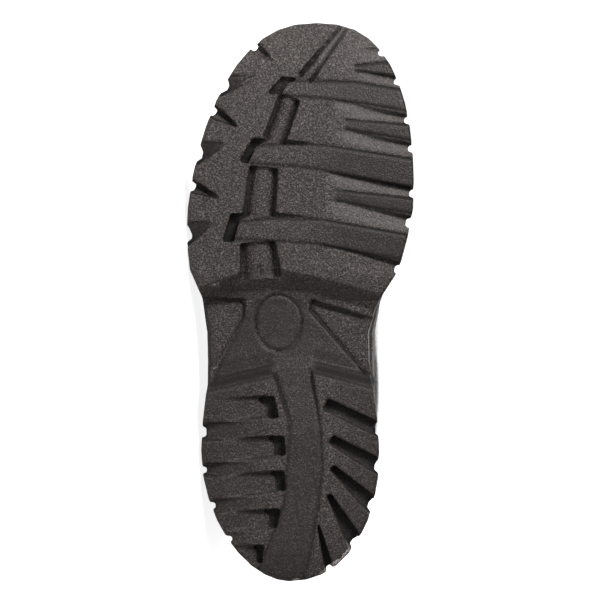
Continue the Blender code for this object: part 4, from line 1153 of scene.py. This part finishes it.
def make_enamel():
    material, tree, shader, spot = new_material("black enamel")
    speck = noise(tree, spot, 700.0, 2.0)
    worn = ramp(tree, speck, 0.62, 0.72)
    connect(tree, shader, {"Base Color": mix(tree, worn, (0.014, 0.014, 0.015), (0.10, 0.095, 0.09)),
                           "Roughness": ramp(tree, speck, 0.3, 0.7, 0.22, 0.42),
                           "Metallic": 0.6})
    return material


def seat_of(name):
    """Middle and outward axis of a packed eyelet, upright, in millimetres."""
    packed = upright_copy(name, "measured")
    points = points_of(packed)
    bpy.data.objects.remove(packed)
    middle = points.mean(axis=0)
    axis = np.linalg.svd(points - middle)[2][2]
    axis = axis * np.sign(axis @ (middle - FOOT_MIDDLE))
    top = ((points - middle) @ axis).max()
    return middle + axis * (top - EYELET_TOP), axis


ENAMEL = make_enamel()
master = model_eyelet()
seats, grommets = {}, {}
for side in SIDES:
    for pair in (1, 2, 3, 4):
        middle, axis = seats[side, pair] = seat_of(f"eyelet_{side}_{pair}")
        rim = new_object(f"grommet_{side}_{pair}", master.data.copy())
        turn = Vector((0, 0, 1)).rotation_difference(Vector(axis)).to_matrix().to_4x4()
        rim.data.transform(Matrix.Translation(Vector(middle + axis * EYELET_RISE) * MM) @ turn)
        grommets[f"eyelet_{side}_{pair}"] = rim
bpy.data.objects.remove(master)
print(len(grommets), "eyelets")


# %% [markdown]
# ## The lace
#
# The lace runs straight across at the lowest pair, then crosses from each eyelet to the next one
# up on the other side. Each run starts inside one eyelet, rises over its rim, lies on the tongue
# and drops into the other eyelet. Where two runs cross, one passes over the other. A run is found
# by letting points fall onto the leather from above, then easing the line.

# %% Let a run of lace fall onto the boot
LACE_WIDE, LACE_THICK = 2.3, 1.45    # half its width and half its thickness
LACE_CLEAR = 0.25                    # between the lace and the leather
LACE_PLACES, LACE_SIDES, LACE_FINER = 25, 14, 4
FALL_FROM, FALL_TO = 25.0, -1.5      # heights over the line from eyelet to eyelet


def net_of(things):
    """The faces of several pieces, ready to stop a falling point."""
    corners, faces = [], []
    for thing in things:
        start = len(corners)
        corners.extend(points_of(thing).tolist())
        faces.extend(tuple(start + i for i in face.vertices) for face in thing.data.polygons)
    return BVHTree.FromPolygons(corners, faces)


def eased(line):
    """A line whose inner points have moved halfway to their neighbours' middle."""
    return np.concatenate([line[:1], 0.25 * line[:-2] + 0.5 * line[1:-1] + 0.25 * line[2:], line[-1:]])


def lace_run(first, second, over):
    """Points of one run of lace, and the directions away from the foot there."""
    (here, out_here), (there, out_there) = first, second
    shares = np.linspace(0.0, 1.0, LACE_PLACES)
    spots = between(shares, [0.0, 1.0], np.stack([here, there]))
    outs = unit(between(shares, [0.0, 1.0], np.stack([out_here, out_there])))
    rise = np.zeros(LACE_PLACES)
    for i, (spot, out) in enumerate(zip(spots, outs)):
        found = instep.ray_cast(spot + out * FALL_FROM, -out)[0]
        rest = (np.array(found) - spot) @ out if found else 0.0
        rise[i] = max(rest, FALL_TO) + LACE_THICK + LACE_CLEAR
    for _ in range(7):
        rise[1:-1] = np.maximum(rise[1:-1], 0.5 * (rise[:-2] + rise[2:]))
        rise = eased(rise)
    to_rim = np.minimum(shares, 1.0 - shares) * np.linalg.norm(there - here)
    rise = rise + over * bell(shares, 0.5, 0.12) + 1.3 * bell(to_rim, 4.4, 2.2)
    points = spots + outs * rise[:, None]
    points[[0, 1]] = here + np.outer([-2.2, 1.0], out_here)
    points[[-1, -2]] = there + np.outer([-2.2, 1.0], out_there)
    return points, outs


def lace_tube(points, outs):
    """Rings round the eased line, and how far along the lace each ring is."""
    places = np.arange(LACE_PLACES)
    dense = np.linspace(0, LACE_PLACES - 1, LACE_FINER * LACE_PLACES)
    line, ups = between(dense, places, points), between(dense, places, outs)
    for _ in range(10):
        line = eased(line)
    ahead = unit(np.gradient(line, axis=0))
    across = unit(np.cross(ups, ahead))
    top = np.cross(ahead, across)
    angles = np.arange(LACE_SIDES)[:, None] * math.tau / LACE_SIDES
    rings = (line[:, None] + across[:, None] * np.cos(angles) * LACE_WIDE
             + top[:, None] * np.sin(angles) * LACE_THICK)
    return rings, run_of(line)


# %% The seven runs
instep = net_of([vamp, quarters["outer"], quarters["inner"], tongue])
lace_points, lace_faces, lace_uvs = [], [], []


def add_lace(first, second, over):
    """Adds one run, with a UV map that goes round and along it, and gives its length."""
    rings, run = lace_tube(*lace_run(first, second, over))
    start = len(lace_points)
    lace_points.extend(rings.reshape(-1, 3))
    for r in range(len(rings) - 1):
        for s in range(LACE_SIDES):
            corners = ((r, s), (r, s + 1), (r + 1, s + 1), (r + 1, s))
            lace_faces.append([start + ring * LACE_SIDES + place % LACE_SIDES for ring, place in corners])
            lace_uvs.extend((place / LACE_SIDES, run[ring]) for ring, place in corners)
    for ring, order in ((0, -1), (len(rings) - 1, 1)):
        lace_faces.append([start + ring * LACE_SIDES + place for place in range(LACE_SIDES)][::order])
        lace_uvs.extend([(0.5, run[ring])] * LACE_SIDES)
    return run[-1]


def make_cord():
    material, tree, shader, spot = new_material("waxed lace")
    spot = node(tree, "UVMap", uv_map="along the lace")["UV"]
    dark, light = (0.010, 0.010, 0.011), (0.040, 0.040, 0.043)
    weave_into(tree, shader, spot, 5.0, 0.42, dark, light, 0.0005, 0.9)
    connect(tree, shader, {"Roughness": 0.62, "Sheen Weight": 0.2})
    return material


WAXED_CORD = make_cord()
lace_shown = add_lace(seats["outer", 1], seats["inner", 1], 0.0)
for pair in (1, 2, 3):
    lace_shown += add_lace(seats["outer", pair], seats["inner", pair + 1], 2.4)
    lace_shown += add_lace(seats["inner", pair], seats["outer", pair + 1], -0.2)
lace = new_mesh("lace", lace_points, lace_faces)
lace.data.uv_layers.new(name="along the lace").data.foreach_set("uv", np.ravel(lace_uvs))
print("lace that shows, in seven runs:", round(lace_shown), "mm")

# %% Hand the upper's pieces to the frame
for panel in (vamp, quarters["outer"], quarters["inner"], back_strip):
    finish(panel, LEATHER, "leather", ["upper"])
finish(collar, SOFT_LEATHER, "leather", ["upper"])
for panel in (lining_low, lining_high):
    finish(panel, LINING, "lining", ["upper"])
finish(tongue, SOFT_LEATHER, "leather", ["tongue"])
finish(footbed, FOOTBED, "lining", ["insole"])
finish(stitches, THREAD, "cord")
finish(lace, WAXED_CORD, "cord", ["laces"], sharp=60.0)
for name, rim in grommets.items():
    finish(rim, ENAMEL, "enamel", [name])

# %% [markdown]
# ## The camera, the floor and the light
#
# The boot is seen square on from below with its toe up, so the camera stands off along the
# tread's normal and is rolled until the toe points up in its view. It stays above the floor.
#
# Black rubber against white is hard to light. The floor and the sky glow fully only for rays that
# come straight from the camera, so the surroundings are white and yet throw little light on the
# boot. Three soft lights do the rest: a key from the toe's inner side that grazes the tread, a
# weak one from the front, and one for the leather on the upper's side.

# %% Place the camera
VIEW_X, STAND_OFF, VIEW_WIDTH = 146.6, 1.8, 0.312    # millimetres; metres; metres
SENSOR = 36.0

aim = LAY_DOWN @ Vector((VIEW_X * MM, 0.0, 0.0))
camera = new_object("camera", bpy.data.cameras.new("camera"))
turn = Matrix((inward, toeward, -upward)).transposed().to_4x4()
camera.matrix_world = Matrix.Translation(aim - upward * STAND_OFF) @ turn
camera.data.sensor_width = SENSOR
camera.data.lens = SENSOR * STAND_OFF / VIEW_WIDTH
camera.data.clip_end = 200.0
bpy.context.scene.camera = camera
print("camera height above the floor:", round(camera.location.z, 3))


# %% Lay the floor
def glow(tree, dim, bright):
    """A strength that is bright only for rays that come straight from the camera."""
    return ramp(tree, node(tree, "LightPath")["Is Camera Ray"], 0.0, 1.0, dim, bright)


WHITE = (1.0, 1.0, 1.0, 1.0)
let_go()
bpy.ops.mesh.primitive_plane_add(size=120.0, location=(0, 0, 0))
floor = bpy.context.object
floor.name = "floor"
pale = bpy.data.materials.new("pale floor")
pale.use_nodes = True
connect(pale.node_tree, pale.node_tree.nodes["Principled BSDF"].inputs,
        {"Base Color": (0.92, 0.92, 0.92, 1.0), "Roughness": 0.9, "Emission Color": WHITE,
         "Emission Strength": glow(pale.node_tree, 0.25, 0.85)})
floor.data.materials.append(pale)


# %% Light the boot
def soft_light(name, place, size, power):
    """A square area light that looks at the middle of the tread."""
    lamp = new_object(name, bpy.data.lights.new(name, "AREA"))
    lamp.data.shape = "SQUARE"
    lamp.data.size = size
    lamp.data.energy = power
    here = LAY_DOWN @ (Vector(place) * MM)
    lamp.matrix_world = Matrix.Translation(here) @ (here - aim).to_track_quat("Z", "Y").to_matrix().to_4x4()


soft_light("key", (760.0, 420.0, -620.0), 0.30, 11.5)
soft_light("front", (100.0, 700.0, -1400.0), 0.9, 3.0)
soft_light("upper side", (20.0, 800.0, 900.0), 0.55, 4.5)
world = bpy.data.worlds.new("pale studio")
bpy.context.scene.world = world
world.use_nodes = True
connect(world.node_tree, world.node_tree.nodes["Background"].inputs,
        {"Color": WHITE, "Strength": glow(world.node_tree, 0.30, 1.0)})
bpy.context.scene.view_settings.view_transform = "Standard"
print("lights:", len(bpy.data.lights))
